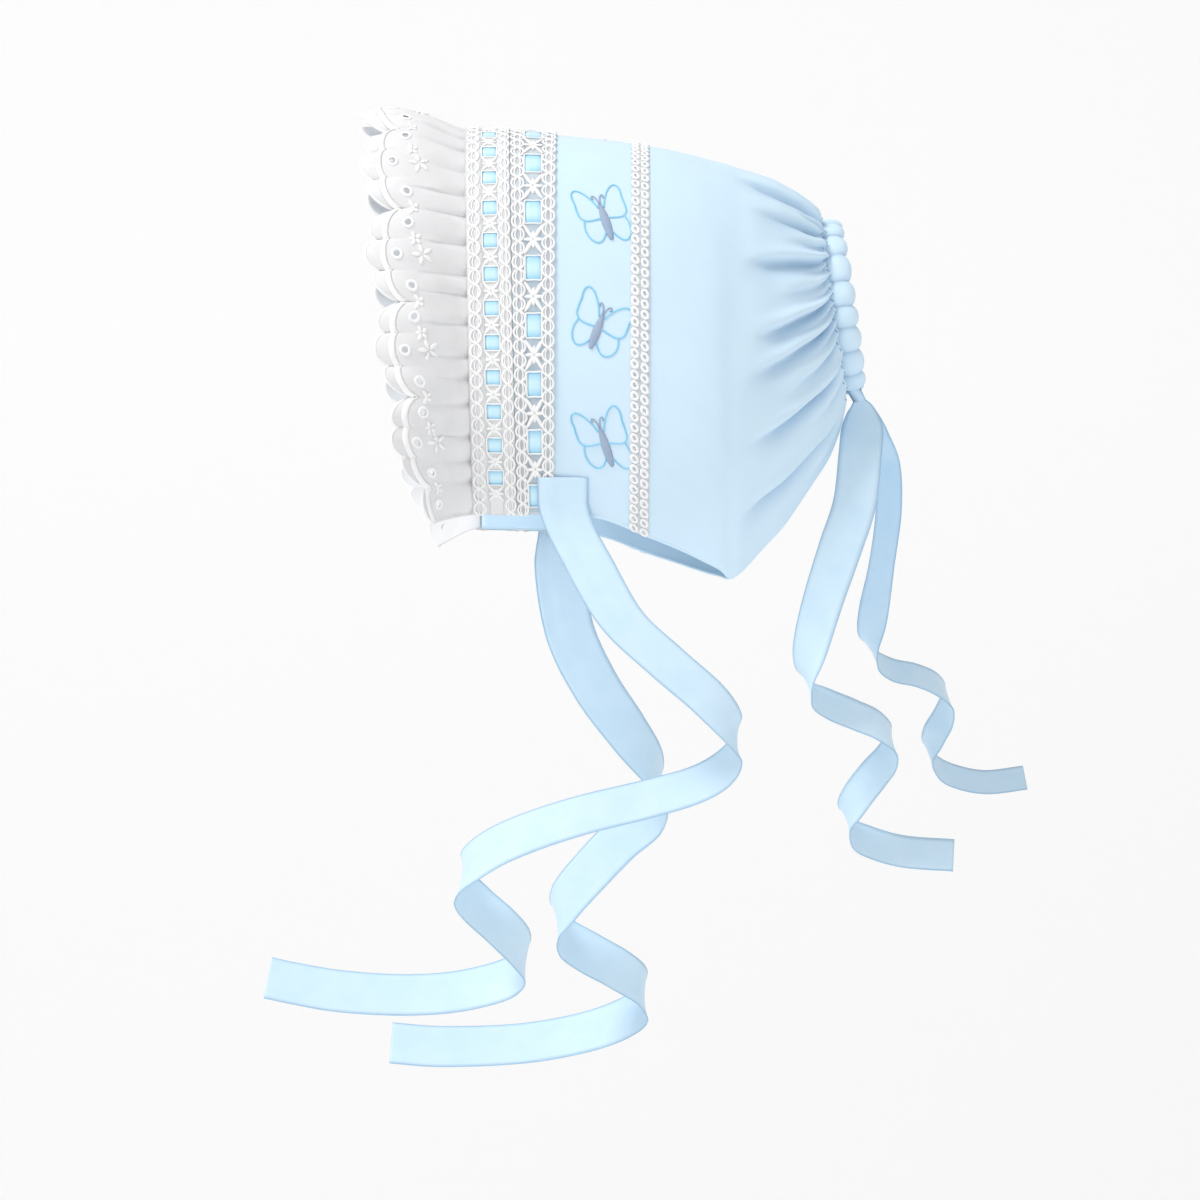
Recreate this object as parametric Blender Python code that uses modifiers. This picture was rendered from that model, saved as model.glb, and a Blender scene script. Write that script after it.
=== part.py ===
"""Baby bonnet: gathered cotton crown, ruffle, two beading laces, trim, ties and drawstring."""

import math

import bpy
import numpy as np

# Sizes in metres. The front faces -Y, the wearer's left is +X, up is +Z.
# The origin is on the inside of the top of the crown, on the centre plane.
DEPTH = 0.150
HEIGHT = 0.150
WIDTH = 0.118
CLOTH = 0.0010
SEAM_GAP = 0.0003
RIBBON = 0.0008
LACE = 0.0010
TIE_WIDTH = 0.020
TIE_CLOTH = 0.0010
DRAWSTRING_WIDTH = 0.016
HANG = 0.200

# Sections of the crown from the front edge to the casing, as shares of DEPTH, HEIGHT and
# WIDTH: top back, top up, low back, low up, half width, half gap of the neck opening.
SECTIONS = np.array([
    (-0.329, 0.032, -0.308, -0.974, 0.466, 0.271),
    (-0.226, 0.027, -0.205, -0.976, 0.483, 0.280),
    (-0.103, 0.017, -0.108, -0.979, 0.496, 0.301),
    (0.013, 0.004, 0.005, -0.992, 0.500, 0.322),
    (0.123, -0.011, 0.121, -1.035, 0.496, 0.305),
    (0.218, -0.029, 0.231, -1.076, 0.483, 0.237),
    (0.287, -0.047, 0.303, -1.105, 0.462, 0.136),
    (0.341, -0.061, 0.343, -1.118, 0.436, 0.000),
    (0.398, -0.078, 0.406, -1.057, 0.403, 0.000),
    (0.452, -0.096, 0.470, -0.987, 0.364, 0.000),
    (0.495, -0.119, 0.529, -0.902, 0.326, 0.000),
    (0.529, -0.142, 0.578, -0.828, 0.292, 0.000),
    (0.552, -0.163, 0.611, -0.756, 0.263, 0.000),
    (0.562, -0.176, 0.626, -0.697, 0.242, 0.000),
    (0.565, -0.186, 0.631, -0.666, 0.229, 0.000),
])
NECK_POINT = 7
RING = 14
WIDEST = 0.45
TOP_ROUND = (2.7, 2.2)
SECTION_STEP = 0.05
SHARE_STEP = 0.004

# Gathers running forward from the casing on each side: place round the side from the top
# (0) to the bottom (1), reach as a share of DEPTH, depth as a share of FOLD_DEPTH.
FOLD_DEPTH = 0.0022
FOLD_HALF_WIDTH = 0.017
FOLDS = np.array([
    (0.050, 0.10, 0.6),
    (0.155, 0.34, 0.8),
    (0.223, 0.20, 0.9),
    (0.281, 0.10, 0.7),
    (0.332, 0.28, 1.0),
    (0.385, 0.09, 0.7),
    (0.438, 0.10, 0.8),
    (0.480, 0.32, 1.0),
    (0.528, 0.30, 1.0),
    (0.580, 0.10, 0.8),
    (0.632, 0.14, 0.8),
    (0.705, 0.38, 1.0),
    (0.775, 0.12, 0.7),
    (0.850, 0.48, 1.0),
    (0.930, 0.16, 0.6),
])

# Casing: an oval tunnel behind the crown's last section; its middle line lies back from that
# section's edge and inside it by these clearances (back, up), and by the side one all round.
CASING_TOP_SHIFT = (0.00325, -0.0046)
CASING_LOW_SHIFT = (0.00235, 0.0059)
CASING_SIDE_SHIFT = 0.0027
CASING_AXIAL = 0.0040
CASING_RADIAL = 0.0030
CASING_MOUTH = 0.16
PUFFS = (0.0, 0.105, 0.225, 0.335, 0.455, 0.555, 0.640, 0.745, 0.870, 1.0)
PUFF_SWELL = 0.16

# Ruffle: ten scallops of three lobes and one end lobe each side.
LOBES = 32
LOBE_STEPS = 4
RUFFLE_TOP_LENGTH = 0.0435
RUFFLE_END_LENGTH = 0.0345
RUFFLE_TOP_FLARE = 20.0
RUFFLE_END_FLARE = 52.0
RUFFLE_CURL = 0.75
RUFFLE_WAVE = 0.0014
RUFFLE_ROWS = (0.0, 0.25, 0.60, 0.70, 0.80, 1.0)
RUFFLE_TURN = 0.18
RUFFLE_DROOP = -0.10
LOBE_DIP = 0.08
GROUP_DIP = 0.18
END_LOBE = 0.15
EYELET = 0.0019

# Bands round the front: front edge and back edge along the top, as shares of DEPTH. Windows
# are counted from the right; the first one's middle and the step to the next are shares of
# half the band's length, from -1 at the right end to 1 at the left end.
FRONT_LACE = (-0.337, -0.232)
FRONT_WINDOW = (-0.301, -0.266)
FRONT_WINDOWS = 28
FRONT_FIRST = -0.947
FRONT_STEP = 0.0690
SECOND_LACE = (-0.230, -0.112)
SECOND_WINDOW = (-0.192, -0.150)
SECOND_WINDOWS = 17
SECOND_FIRST = -0.905
SECOND_STEP = 0.1163
TRIM = (0.079, 0.126)
FRONT_WINDOW_SHARE = 0.44
SECOND_WINDOW_SHARE = 0.42
RIBBON_MARGIN = 0.006

# Ribbons that hang: back, up and out as shares of HANG, measured from the first row, whose
# place comes from the piece it leaves; the turn of the ribbon's width from level and its lean
# out of the side view in degrees; its width share.
TIE_LEFT = np.array([
    (-0.074, -0.790, 0.198, 0, 0, 1.00),
    (-0.029, -0.863, 0.205, 8, -3, 1.00),
    (0.038, -0.969, 0.210, 20, -6, 0.97),
    (0.125, -1.044, 0.205, 45, -9, 0.94),
    (0.204, -1.106, 0.190, 65, -12, 0.91),
    (0.250, -1.156, 0.165, 80, -19, 0.88),
    (0.260, -1.187, 0.130, 95, -22, 0.86),
    (0.235, -1.223, 0.105, 100, -22, 0.86),
    (0.181, -1.252, 0.095, 95, -22, 0.86),
    (0.089, -1.277, 0.090, 98, -22, 0.86),
    (-0.035, -1.306, 0.085, 105, -22, 0.86),
    (-0.135, -1.337, 0.075, 105, -22, 0.86),
    (-0.208, -1.368, 0.055, 100, -22, 0.86),
    (-0.258, -1.406, 0.030, 88, -22, 0.86),
    (-0.262, -1.439, -0.005, 70, -24, 0.86),
    (-0.235, -1.471, -0.030, 55, -25, 0.86),
    (-0.193, -1.508, -0.040, 50, -25, 0.86),
    (-0.156, -1.547, -0.060, 65, -26, 0.86),
    (-0.144, -1.579, -0.095, 85, -26, 0.86),
    (-0.169, -1.602, -0.125, 95, -24, 0.86),
    (-0.216, -1.620, -0.135, 95, -24, 0.86),
    (-0.296, -1.635, -0.140, 93, -24, 0.86),
    (-0.393, -1.639, -0.140, 90, -24, 0.86),
    (-0.502, -1.632, -0.135, 90, -22, 0.86),
    (-0.587, -1.618, -0.130, 92, -22, 0.86),
    (-0.643, -1.606, -0.125, 90, -22, 0.86),
])
TIE_RIGHT = np.array([
    (-0.085, -0.790, -0.202, 0, 0, 1.00),
    (-0.090, -0.844, -0.215, 8, -3, 1.00),
    (-0.067, -0.959, -0.235, 20, -3, 0.97),
    (-0.015, -1.056, -0.250, 40, -7, 0.94),
    (0.048, -1.137, -0.270, 60, -12, 0.91),
    (0.100, -1.202, -0.300, 80, -19, 0.88),
    (0.119, -1.248, -0.335, 98, -22, 0.86),
    (0.096, -1.291, -0.370, 110, -19, 0.86),
    (0.038, -1.335, -0.385, 130, -12, 0.86),
    (-0.019, -1.393, -0.390, 138, -16, 0.86),
    (-0.065, -1.446, -0.400, 125, -22, 0.86),
    (-0.085, -1.489, -0.430, 100, -25, 0.86),
    (-0.065, -1.523, -0.465, 75, -24, 0.86),
    (-0.019, -1.552, -0.480, 60, -19, 0.86),
    (0.035, -1.581, -0.490, 60, -22, 0.86),
    (0.081, -1.614, -0.515, 80, -26, 0.86),
    (0.085, -1.649, -0.550, 95, -24, 0.86),
    (0.048, -1.677, -0.570, 100, -24, 0.86),
    (-0.019, -1.702, -0.575, 98, -24, 0.86),
    (-0.116, -1.722, -0.580, 95, -24, 0.86),
    (-0.212, -1.731, -0.580, 92, -24, 0.86),
    (-0.327, -1.733, -0.575, 90, -22, 0.86),
    (-0.418, -1.726, -0.570, 85, -22, 0.86),
])
DRAWSTRING_LEFT = np.array([
    (0.500, -0.503, 0.016, 0, 0, 0.30),
    (0.504, -0.530, 0.022, 0, 0, 0.60),
    (0.504, -0.565, 0.040, -2, 6, 0.90),
    (0.499, -0.609, 0.065, -5, 5, 1.00),
    (0.487, -0.705, 0.095, -8, 3, 1.00),
    (0.458, -0.794, 0.115, -14, 3, 1.00),
    (0.425, -0.894, 0.125, -24, 7, 0.94),
    (0.402, -0.979, 0.125, -42, 16, 0.88),
    (0.393, -1.033, 0.110, -62, 22, 0.82),
    (0.406, -1.069, 0.085, -76, 25, 0.82),
    (0.439, -1.088, 0.070, -88, 26, 0.82),
    (0.487, -1.108, 0.065, -92, 27, 0.82),
    (0.531, -1.127, 0.055, -92, 29, 0.82),
    (0.560, -1.154, 0.030, -82, 31, 0.82),
    (0.551, -1.187, 0.005, -60, 28, 0.82),
    (0.524, -1.221, -0.005, -45, 22, 0.82),
    (0.493, -1.262, -0.015, -50, 22, 0.82),
    (0.475, -1.298, -0.035, -70, 22, 0.82),
    (0.491, -1.329, -0.060, -82, 22, 0.82),
    (0.527, -1.348, -0.070, -90, 22, 0.82),
    (0.589, -1.364, -0.075, -92, 22, 0.82),
    (0.683, -1.371, -0.075, -92, 22, 0.82),
])
DRAWSTRING_RIGHT = np.array([
    (0.503, -0.503, -0.016, 0, 10, 0.30),
    (0.512, -0.530, -0.022, 0, 30, 0.60),
    (0.533, -0.565, -0.040, -3, 50, 0.90),
    (0.556, -0.613, -0.065, -5, 55, 1.00),
    (0.560, -0.700, -0.085, -8, 55, 1.00),
    (0.547, -0.805, -0.105, -10, 55, 1.00),
    (0.531, -0.898, -0.120, -20, 42, 0.94),
    (0.524, -0.954, -0.135, -50, 40, 0.88),
    (0.539, -0.986, -0.160, -75, 42, 0.82),
    (0.572, -1.006, -0.175, -88, 43, 0.82),
    (0.616, -1.015, -0.185, -94, 44, 0.82),
    (0.656, -1.031, -0.200, -92, 44, 0.82),
    (0.681, -1.056, -0.225, -75, 44, 0.82),
    (0.674, -1.092, -0.250, -50, 42, 0.82),
    (0.655, -1.127, -0.260, -45, 40, 0.82),
    (0.645, -1.160, -0.280, -70, 42, 0.82),
    (0.664, -1.187, -0.305, -84, 43, 0.82),
    (0.699, -1.206, -0.315, -92, 43, 0.82),
    (0.760, -1.217, -0.320, -90, 43, 0.82),
    (0.837, -1.208, -0.320, -72, 43, 0.82),
])
TIE_SEWN_TOP = 0.0145
TIE_SEWN_LAPS = (1.0, 0.67, 0.33, 0.0)
TIE_SEWN_BACK = (-0.0273, -0.00475)
TIE_DROP = (0.0014, 0.0004, -0.0093)
DRAWSTRING_DROP = (0.0033, -0.0066, 0.0032)
TIE_LIFT = (0.0042, 0.0017)
BUNCHED_WIDTH = 0.24


def smooth_rows(table, at):
    """Rows of a table between its own, on a smooth curve through them (Catmull-Rom)."""
    at = np.atleast_1d(at)
    last = len(table) - 1
    low = np.clip(np.floor(at).astype(int), 0, last - 1)
    f = (at - low)[:, None]
    before = np.where((low > 0)[:, None], table[np.maximum(low - 1, 0)], 2 * table[low] - table[low + 1])
    after = np.where(
        (low < last - 1)[:, None], table[np.minimum(low + 2, last)], 2 * table[low + 1] - table[low]
    )
    a, b = table[low], table[low + 1]
    slope_a, slope_b = (b - before) / 2, (after - a) / 2
    f2, f3 = f * f, f * f * f
    return (2 * f3 - 3 * f2 + 1) * a + (f3 - 2 * f2 + f) * slope_a + (3 * f2 - 2 * f3) * b + (f3 - f2) * slope_b


def section_line(at, shares):
    """Points of one crown section at the given shares of its half length, 0 top to 1 neck."""
    top_y, top_z, low_y, low_z, half, gap = smooth_rows(SECTIONS, at)[0]
    top = np.array((top_y * DEPTH, top_z * HEIGHT))
    low = np.array((low_y * DEPTH, low_z * HEIGHT))
    half, gap = half * WIDTH, max(gap, 0.0) * WIDTH
    closed = min(max((at - 3.0) / (NECK_POINT - 3.0), 0.0), 1.0)
    back = min(max((at - NECK_POINT) / (RING - NECK_POINT), 0.0), 1.0)
    top_power = TOP_ROUND[0] + (TOP_ROUND[1] - TOP_ROUND[0]) * back
    angle = np.linspace(0.0, math.pi / 2, 120)
    upper_rise = WIDEST + (1 - WIDEST) * np.cos(angle) ** (2 / top_power)
    upper_out = half * np.sin(angle) ** (2 / top_power)
    fall = np.sin(angle[1:])
    if gap > 0.0 or at < NECK_POINT:
        open_out = half - (half - gap) * fall**2
        round_out = gap + (half - gap) * np.cos(angle[1:])
        lower_out = (1 - closed) * open_out + closed * round_out
    else:
        lower_out = half * np.cos(angle[1:])
    rise = np.concatenate((upper_rise, WIDEST * (1 - fall)))
    out = np.concatenate((upper_out, lower_out))
    line = low[None, :] + rise[:, None] * (top - low)[None, :]
    steps = np.hypot(np.diff(out), np.hypot(np.diff(line[:, 0]), np.diff(line[:, 1])))
    run = np.concatenate(([0.0], np.cumsum(steps)))
    run /= run[-1]
    place = np.abs(shares)
    return np.stack(
        (
            np.sign(shares) * np.interp(place, run, out),
            np.interp(place, run, line[:, 0]),
            np.interp(place, run, line[:, 1]),
        ),
        axis=1,
    )


def crown_grid(ats, shares):
    """Outside of the crown without its gathers: one row per section, one column per share."""
    return np.array([section_line(at, shares) for at in ats])


def outward(points, closed_columns=False):
    """Unit normals of a grid of points, turned away from the crown's inside."""
    if closed_columns:
        across = np.roll(points, -1, axis=1) - np.roll(points, 1, axis=1)
    else:
        across = np.gradient(points, axis=1)
    normal = np.cross(across, np.gradient(points, axis=0))
    normal /= np.maximum(np.linalg.norm(normal, axis=2, keepdims=True), 1e-12)
    return normal


def top_share_to_section(shares):
    """Section numbers whose top lies at the given shares of DEPTH."""
    ats = np.linspace(-0.6, RING, 600)
    tops = np.array([smooth_rows(SECTIONS, at)[0][0] for at in ats])
    return np.interp(shares, tops, ats)


def gathers(points, shares):
    """How far each point is drawn in by the gathers that run forward from the casing."""
    steps = np.linalg.norm(np.diff(points, axis=0), axis=2)
    reach = np.zeros(points.shape[:2])
    reach[:-1] = np.cumsum(steps[::-1], axis=0)[::-1]
    place = np.abs(shares)[None, :]
    drawn = np.zeros(points.shape[:2])
    for fold_place, fold_reach, fold_depth in FOLDS:
        spread = FOLD_HALF_WIDTH * (1 + 0.6 * reach / (fold_reach * DEPTH))
        valley = np.exp(-(((place - fold_place) / spread) ** 2))
        fade = np.clip(1 - reach / (fold_reach * DEPTH), 0, 1) ** 1.3
        drawn += fold_depth * FOLD_DEPTH * valley * fade
    return drawn


def finish(name, mesh, colour, roughness, wall, offset):
    """Object of a mesh with its wall, material and place in the bonnet's collection."""
    mesh.update()
    piece = bpy.data.objects.new(name, mesh)
    BONNET.objects.link(piece)
    material = bpy.data.materials.new(name)
    material.use_nodes = True
    shader = material.node_tree.nodes["Principled BSDF"]
    shader.inputs["Base Color"].default_value = (*colour, 1.0)
    shader.inputs["Roughness"].default_value = roughness
    shader.inputs["Metallic"].default_value = 0.0
    mesh.materials.append(material)
    mesh.polygons.foreach_set("use_smooth", [True] * len(mesh.polygons))
    solid = piece.modifiers.new("wall", "SOLIDIFY")
    solid.thickness = wall
    solid.offset = offset
    solid.use_even_offset = False
    return piece


def grid_mesh(name, points, left_out=None, joined_columns=False):
    """Mesh of a grid of points; cells in left_out stay open as holes."""
    rows, columns = points.shape[:2]
    number = np.arange(rows * columns).reshape(rows, columns)
    last = columns if joined_columns else columns - 1
    faces = []
    for r in range(rows - 1):
        for c in range(last):
            if left_out is None or not left_out[r, c]:
                d = (c + 1) % columns
                faces.append((number[r, c], number[r, d], number[r + 1, d], number[r + 1, c]))
    used = sorted({int(v) for face in faces for v in face})
    new = {old: k for k, old in enumerate(used)}
    flat = points.reshape(-1, 3)
    mesh = bpy.data.meshes.new(name)
    mesh.from_pydata([tuple(flat[v]) for v in used], [], [tuple(new[int(v)] for v in face) for face in faces])
    return mesh


def build_crown():
    """Loft: open neck in front, closed at the centre back, fine columns near the casing."""
    coarse_shares = np.linspace(-1, 1, 33)
    fine_shares = np.linspace(-1, 1, 97)
    coarse_rows = np.array([0.0, 1.0, 2.0, 3.0, 4.0, 5.0, 6.0, 7.0])
    fine_rows = np.array([8.0, 9.4, 10.8, 12.0, 13.0, 14.0])
    coarse = crown_grid(coarse_rows, coarse_shares)
    both = crown_grid(np.concatenate((coarse_rows, fine_rows)), fine_shares)
    drawn = gathers(both, fine_shares)
    normal = outward(both)
    both = both - normal * drawn[:, :, None]
    coarse[:, :] = both[: len(coarse_rows), ::3]
    fine = both[len(coarse_rows) :]
    points, rows = [], []
    for line in list(coarse) + list(fine):
        rows.append(np.arange(len(line)) + len(points))
        points.extend(line)
    for k in range(NECK_POINT, len(rows)):
        points[rows[k][0]] = points[rows[k][-1]] = points[rows[k][0]] * np.array((0.0, 1.0, 1.0))
        rows[k][-1] = rows[k][0]
    faces = []
    for a, b in zip(rows[:-1], rows[1:]):
        if len(a) == len(b):
            faces.extend((a[c], a[c + 1], b[c + 1], b[c]) for c in range(len(a) - 1))
        else:
            for c in range(len(a) - 1):
                f = 3 * c
                faces.append((a[c], b[f + 1], b[f]))
                faces.append((a[c], a[c + 1], b[f + 2], b[f + 1]))
                faces.append((a[c + 1], b[f + 3], b[f + 2]))
    used = sorted({int(v) for face in faces for v in face})
    new = {old: k for k, old in enumerate(used)}
    mesh = bpy.data.meshes.new("crown")
    mesh.from_pydata([tuple(points[v]) for v in used], [], [tuple(new[int(v)] for v in face) for face in faces])
    finish("crown", mesh, (0.66, 0.82, 0.95), 0.85, CLOTH, -1)


def band(name, edges, windows, lift, wall, colour, roughness, splits):
    """Strip laid round the front over the crown; windows are cut through where given."""
    lines = top_share_to_section(np.array(edges))
    if windows:
        count, first, pitch, window_share = windows
        starts = first + (np.arange(count) - window_share / 2) * pitch
        parts = [np.linspace(0, window_share, splits + 1), np.linspace(window_share, 1, splits + 1)[1:-1]]
        cuts = (starts[:, None] + pitch * np.concatenate(parts)[None, :]).ravel()
        shares = np.concatenate(([-1.0], cuts[cuts < 1.0 - SHARE_STEP], [1.0]))
    else:
        shares = np.linspace(-1, 1, splits + 1)
    base = crown_grid(lines, shares)
    after = crown_grid(lines, np.clip(shares + SHARE_STEP, -1, 1))
    across = after - crown_grid(lines, np.clip(shares - SHARE_STEP, -1, 1))
    along = crown_grid(lines + SECTION_STEP, shares) - crown_grid(lines - SECTION_STEP, shares)
    normal = np.cross(across, along)
    normal /= np.linalg.norm(normal, axis=2, keepdims=True)
    points = base + normal * lift
    left_out = None
    if windows:
        middle = (shares[1:] + shares[:-1]) / 2
        nearest = first + np.clip(np.round((middle - first) / pitch), 0, count - 1) * pitch
        left_out = np.zeros((len(lines) - 1, len(shares) - 1), bool)
        left_out[1] = np.abs(middle - nearest) < pitch * window_share / 2
    mesh = grid_mesh(name, points, left_out)
    finish(name, mesh, colour, roughness, wall, 1)


def build_casing():
    """Puffed tunnel along an oval behind the ring, open at its two ends at the bottom."""
    top_y, top_z, low_y, low_z, half, _ = SECTIONS[RING]
    top = np.array((top_y * DEPTH, top_z * HEIGHT)) + CASING_TOP_SHIFT
    low = np.array((low_y * DEPTH, low_z * HEIGHT)) + CASING_LOW_SHIFT
    half_width = half * WIDTH - CASING_SIDE_SHIFT
    centre, down = (top + low) / 2, (low - top) / 2
    half_height = np.linalg.norm(down)
    down = down / half_height
    axis = np.array((-down[1], down[0]))
    places = []
    for a, b in zip(PUFFS[:-1], PUFFS[1:]):
        places.extend((a, a + (b - a) * 0.27, a + (b - a) * 0.73))
    places = np.array(places + [1.0])
    swell = np.array([0.0, 1.0, 1.0] * (len(PUFFS) - 1) + [0.0])
    half_turn = math.pi - CASING_MOUTH
    angles = np.concatenate((-(places[::-1]) * half_turn, places[1:] * half_turn))
    swell = np.concatenate((swell[::-1], swell[1:]))
    round_section = np.linspace(0, 2 * math.pi, 7)[:-1] + math.pi / 6
    ring_y = centre[0] - down[0] * half_height * np.cos(angles)
    ring_z = centre[1] - down[1] * half_height * np.cos(angles)
    ring_x = half_width * np.sin(angles)
    ring = np.stack((ring_x, ring_y, ring_z), axis=1)
    out = np.stack(
        (
            np.sin(angles) * half_height,
            -down[0] * np.cos(angles) * half_width,
            -down[1] * np.cos(angles) * half_width,
        ),
        axis=1,
    )
    out /= np.linalg.norm(out, axis=1, keepdims=True)
    back = np.array((0.0, axis[0], axis[1]))
    if back[1] < 0:
        back = -back
    size = 1 + PUFF_SWELL * (swell - 0.5)
    points = (
        ring[:, None, :]
        + out[:, None, :] * (CASING_RADIAL * size[:, None] * np.sin(round_section)[None, :])[:, :, None]
        + back[None, None, :] * (CASING_AXIAL * size[:, None] * np.cos(round_section)[None, :])[:, :, None]
    )
    mesh = grid_mesh("drawstring_casing", points, None, True)
    finish("drawstring_casing", mesh, (0.66, 0.82, 0.95), 0.85, CLOTH, -1)
    return ring, back, np.array((0.0, low[0], low[1]))


def build_ruffle():
    """Gathered strip from the crown's front edge, fluted, flared, scalloped, with eyelets."""
    columns = LOBES * LOBE_STEPS
    shares = np.linspace(-1, 1, columns + 1)
    start = top_share_to_section(np.array([SECTIONS[0, 0] - SEAM_GAP / DEPTH]))[0]
    base = crown_grid([start], shares)[0]
    nearby = crown_grid([start + SECTION_STEP], shares)[0]
    forward = base - nearby
    forward /= np.linalg.norm(forward, axis=1, keepdims=True)
    across = np.gradient(base, axis=0)
    across /= np.linalg.norm(across, axis=1, keepdims=True)
    normal = np.cross(forward, across)
    normal[:, 2] = np.maximum(normal[:, 2], RUFFLE_DROOP)
    normal /= np.linalg.norm(normal, axis=1, keepdims=True)
    side = np.abs(shares)
    length = RUFFLE_TOP_LENGTH + (RUFFLE_END_LENGTH - RUFFLE_TOP_LENGTH) * side**1.5
    flare = np.radians(RUFFLE_TOP_FLARE + (RUFFLE_END_FLARE - RUFFLE_TOP_FLARE) * side**1.3)
    lobe = (np.arange(columns + 1) / LOBE_STEPS) % 1.0
    lobe_round = np.sqrt(np.clip(1 - (2 * lobe - 1) ** 2, 0, 1))
    lobe_number = np.clip(np.arange(columns + 1) / LOBE_STEPS, 0, LOBES)
    group = ((lobe_number - 1) / 3.0) % 1.0
    group_round = np.sin(math.pi * group) ** 0.6
    group_round = np.where((lobe_number < 1) | (lobe_number > LOBES - 1), END_LOBE, group_round)
    scallop = 1 - LOBE_DIP * (1 - lobe_round) - GROUP_DIP * (1 - group_round)
    rows = np.array(RUFFLE_ROWS)[:, None]
    reach = rows * length[None, :] * (1 - rows**2 * (1 - scallop[None, :]))
    curl = RUFFLE_CURL * np.clip(1 - side**1.5, 0, 1)
    bend = flare[None, :] * (1 - np.exp(-rows / RUFFLE_TURN)) * (1 - curl[None, :] * rows**2)
    wave = -np.cos(2 * math.pi * lobe)[None, :] * RUFFLE_WAVE * rows**0.8
    points = (
        base[None]
        + forward[None] * (reach * np.cos(bend))[:, :, None]
        + normal[None] * (reach * np.sin(bend) + wave)[:, :, None]
    )
    left_out = np.zeros((len(RUFFLE_ROWS) - 1, columns), bool)
    middle = LOBE_STEPS // 2
    for k in range(LOBES):
        c = k * LOBE_STEPS + middle
        left_out[2:4, c - 1 : c + 1] = True
        centre = points[3, c].copy()
        rounding = []
        for r in (2, 3, 4):
            for q in (c - 1, c, c + 1):
                if (r, q) != (3, c):
                    rounding.append((r, q))
        for r, q in rounding:
            way = points[r, q] - centre
            points[r, q] = centre + way * EYELET / np.linalg.norm(way)
    mesh = grid_mesh("front_ruffle", points, left_out)
    finish("front_ruffle", mesh, (0.86, 0.86, 0.87), 0.9, CLOTH, 1)


def strip(name, path, wide, wall, colour):
    """Flat ribbon along a path; wide holds the half-width vector at each point."""
    points = np.stack((path - wide, path + wide), axis=1)
    mesh = grid_mesh(name, points)
    finish(name, mesh, colour, 0.45, wall, 0)


def hang_path(table, start, width, ahead=None):
    """Path and half-width vectors of a ribbon that hangs from start, from its table."""
    rows = smooth_rows(table, np.linspace(0, len(table) - 1, (len(table) - 1) * 2 + 1))
    fall = rows[:, :3] - table[0, :3]
    path = start + np.stack((fall[:, 2], fall[:, 0], fall[:, 1]), axis=1) * HANG
    turn, lean = np.radians(rows[:, 3]), np.radians(rows[:, 4])
    hint = np.stack((np.sin(lean), np.cos(lean) * np.cos(turn), np.cos(lean) * np.sin(turn)), axis=1)
    led = path if ahead is None else np.concatenate((ahead[None], path))
    tangent = np.gradient(led, axis=0)
    tangent = tangent if ahead is None else tangent[1:]
    tangent /= np.linalg.norm(tangent, axis=1, keepdims=True)
    wide = hint - tangent * (hint * tangent).sum(axis=1, keepdims=True)
    wide /= np.linalg.norm(wide, axis=1, keepdims=True)
    return path, wide * (width / 2 * rows[:, 5])[:, None]


def build_tie(name, table, side):
    """Front tie: sewn over lace and cloth at the corner, then hanging from the rim."""
    ats = top_share_to_section(np.array(TIE_SEWN_BACK) / DEPTH)
    lines = crown_grid([ats.mean()], np.linspace(0, 1, 60))[0]
    length = np.linalg.norm(np.diff(lines, axis=0), axis=1).sum()
    first = []
    for lap in TIE_SEWN_LAPS:
        share = side * (1 - lap * TIE_SEWN_TOP / length)
        pair = []
        for at, lift in zip(ats, TIE_LIFT):
            spots = np.array([share - SHARE_STEP, share + SHARE_STEP])
            here = crown_grid([at - SECTION_STEP, at + SECTION_STEP], spots)
            along = here[1].mean(axis=0) - here[0].mean(axis=0)
            across = here[:, 1].mean(axis=0) - here[:, 0].mean(axis=0)
            normal = np.cross(across, along)
            normal /= np.linalg.norm(normal)
            pair.append(here.mean(axis=(0, 1)) + normal * (lift + TIE_CLOTH / 2))
        first.append(pair)
    first = np.array(first)
    start = first[-1].mean(axis=0) + np.array(TIE_DROP) * (side, 1, 1)
    path, wide = hang_path(table, start, TIE_WIDTH)
    points = np.concatenate((first, np.stack((path - wide, path + wide), axis=1)))
    finish(name, grid_mesh(name, points), (0.62, 0.81, 0.95), 0.5, TIE_CLOTH, 0)


def build_drawstring(ring, back, low):
    """One ribbon: left end, bunched round the inside of the casing, right end."""
    ends = []
    for table, near, side in ((DRAWSTRING_LEFT, ring[-1], 1), (DRAWSTRING_RIGHT, ring[0], -1)):
        start = low + np.array((DRAWSTRING_DROP[2] * side, DRAWSTRING_DROP[0], DRAWSTRING_DROP[1]))
        ends.append(hang_path(table, start, DRAWSTRING_WIDTH, near))
    inside = ring[::2]
    inside_wide = np.repeat(back[None], len(inside), axis=0) * DRAWSTRING_WIDTH / 2 * BUNCHED_WIDTH
    path = np.concatenate((ends[1][0][::-1], inside, ends[0][0]))
    wide = np.concatenate((ends[1][1][::-1], inside_wide, ends[0][1]))
    strip("drawstring", path, wide, TIE_CLOTH, (0.62, 0.81, 0.95))


for old in list(bpy.data.objects):
    bpy.data.objects.remove(old)
BONNET = bpy.data.collections.new("baby_bonnet")
bpy.context.scene.collection.children.link(BONNET)

RIBBON_LIFT = SEAM_GAP
LACE_LIFT = 2 * SEAM_GAP + RIBBON
WHITE = (0.92, 0.92, 0.93)
SATIN = (0.42, 0.72, 0.90)

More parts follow.
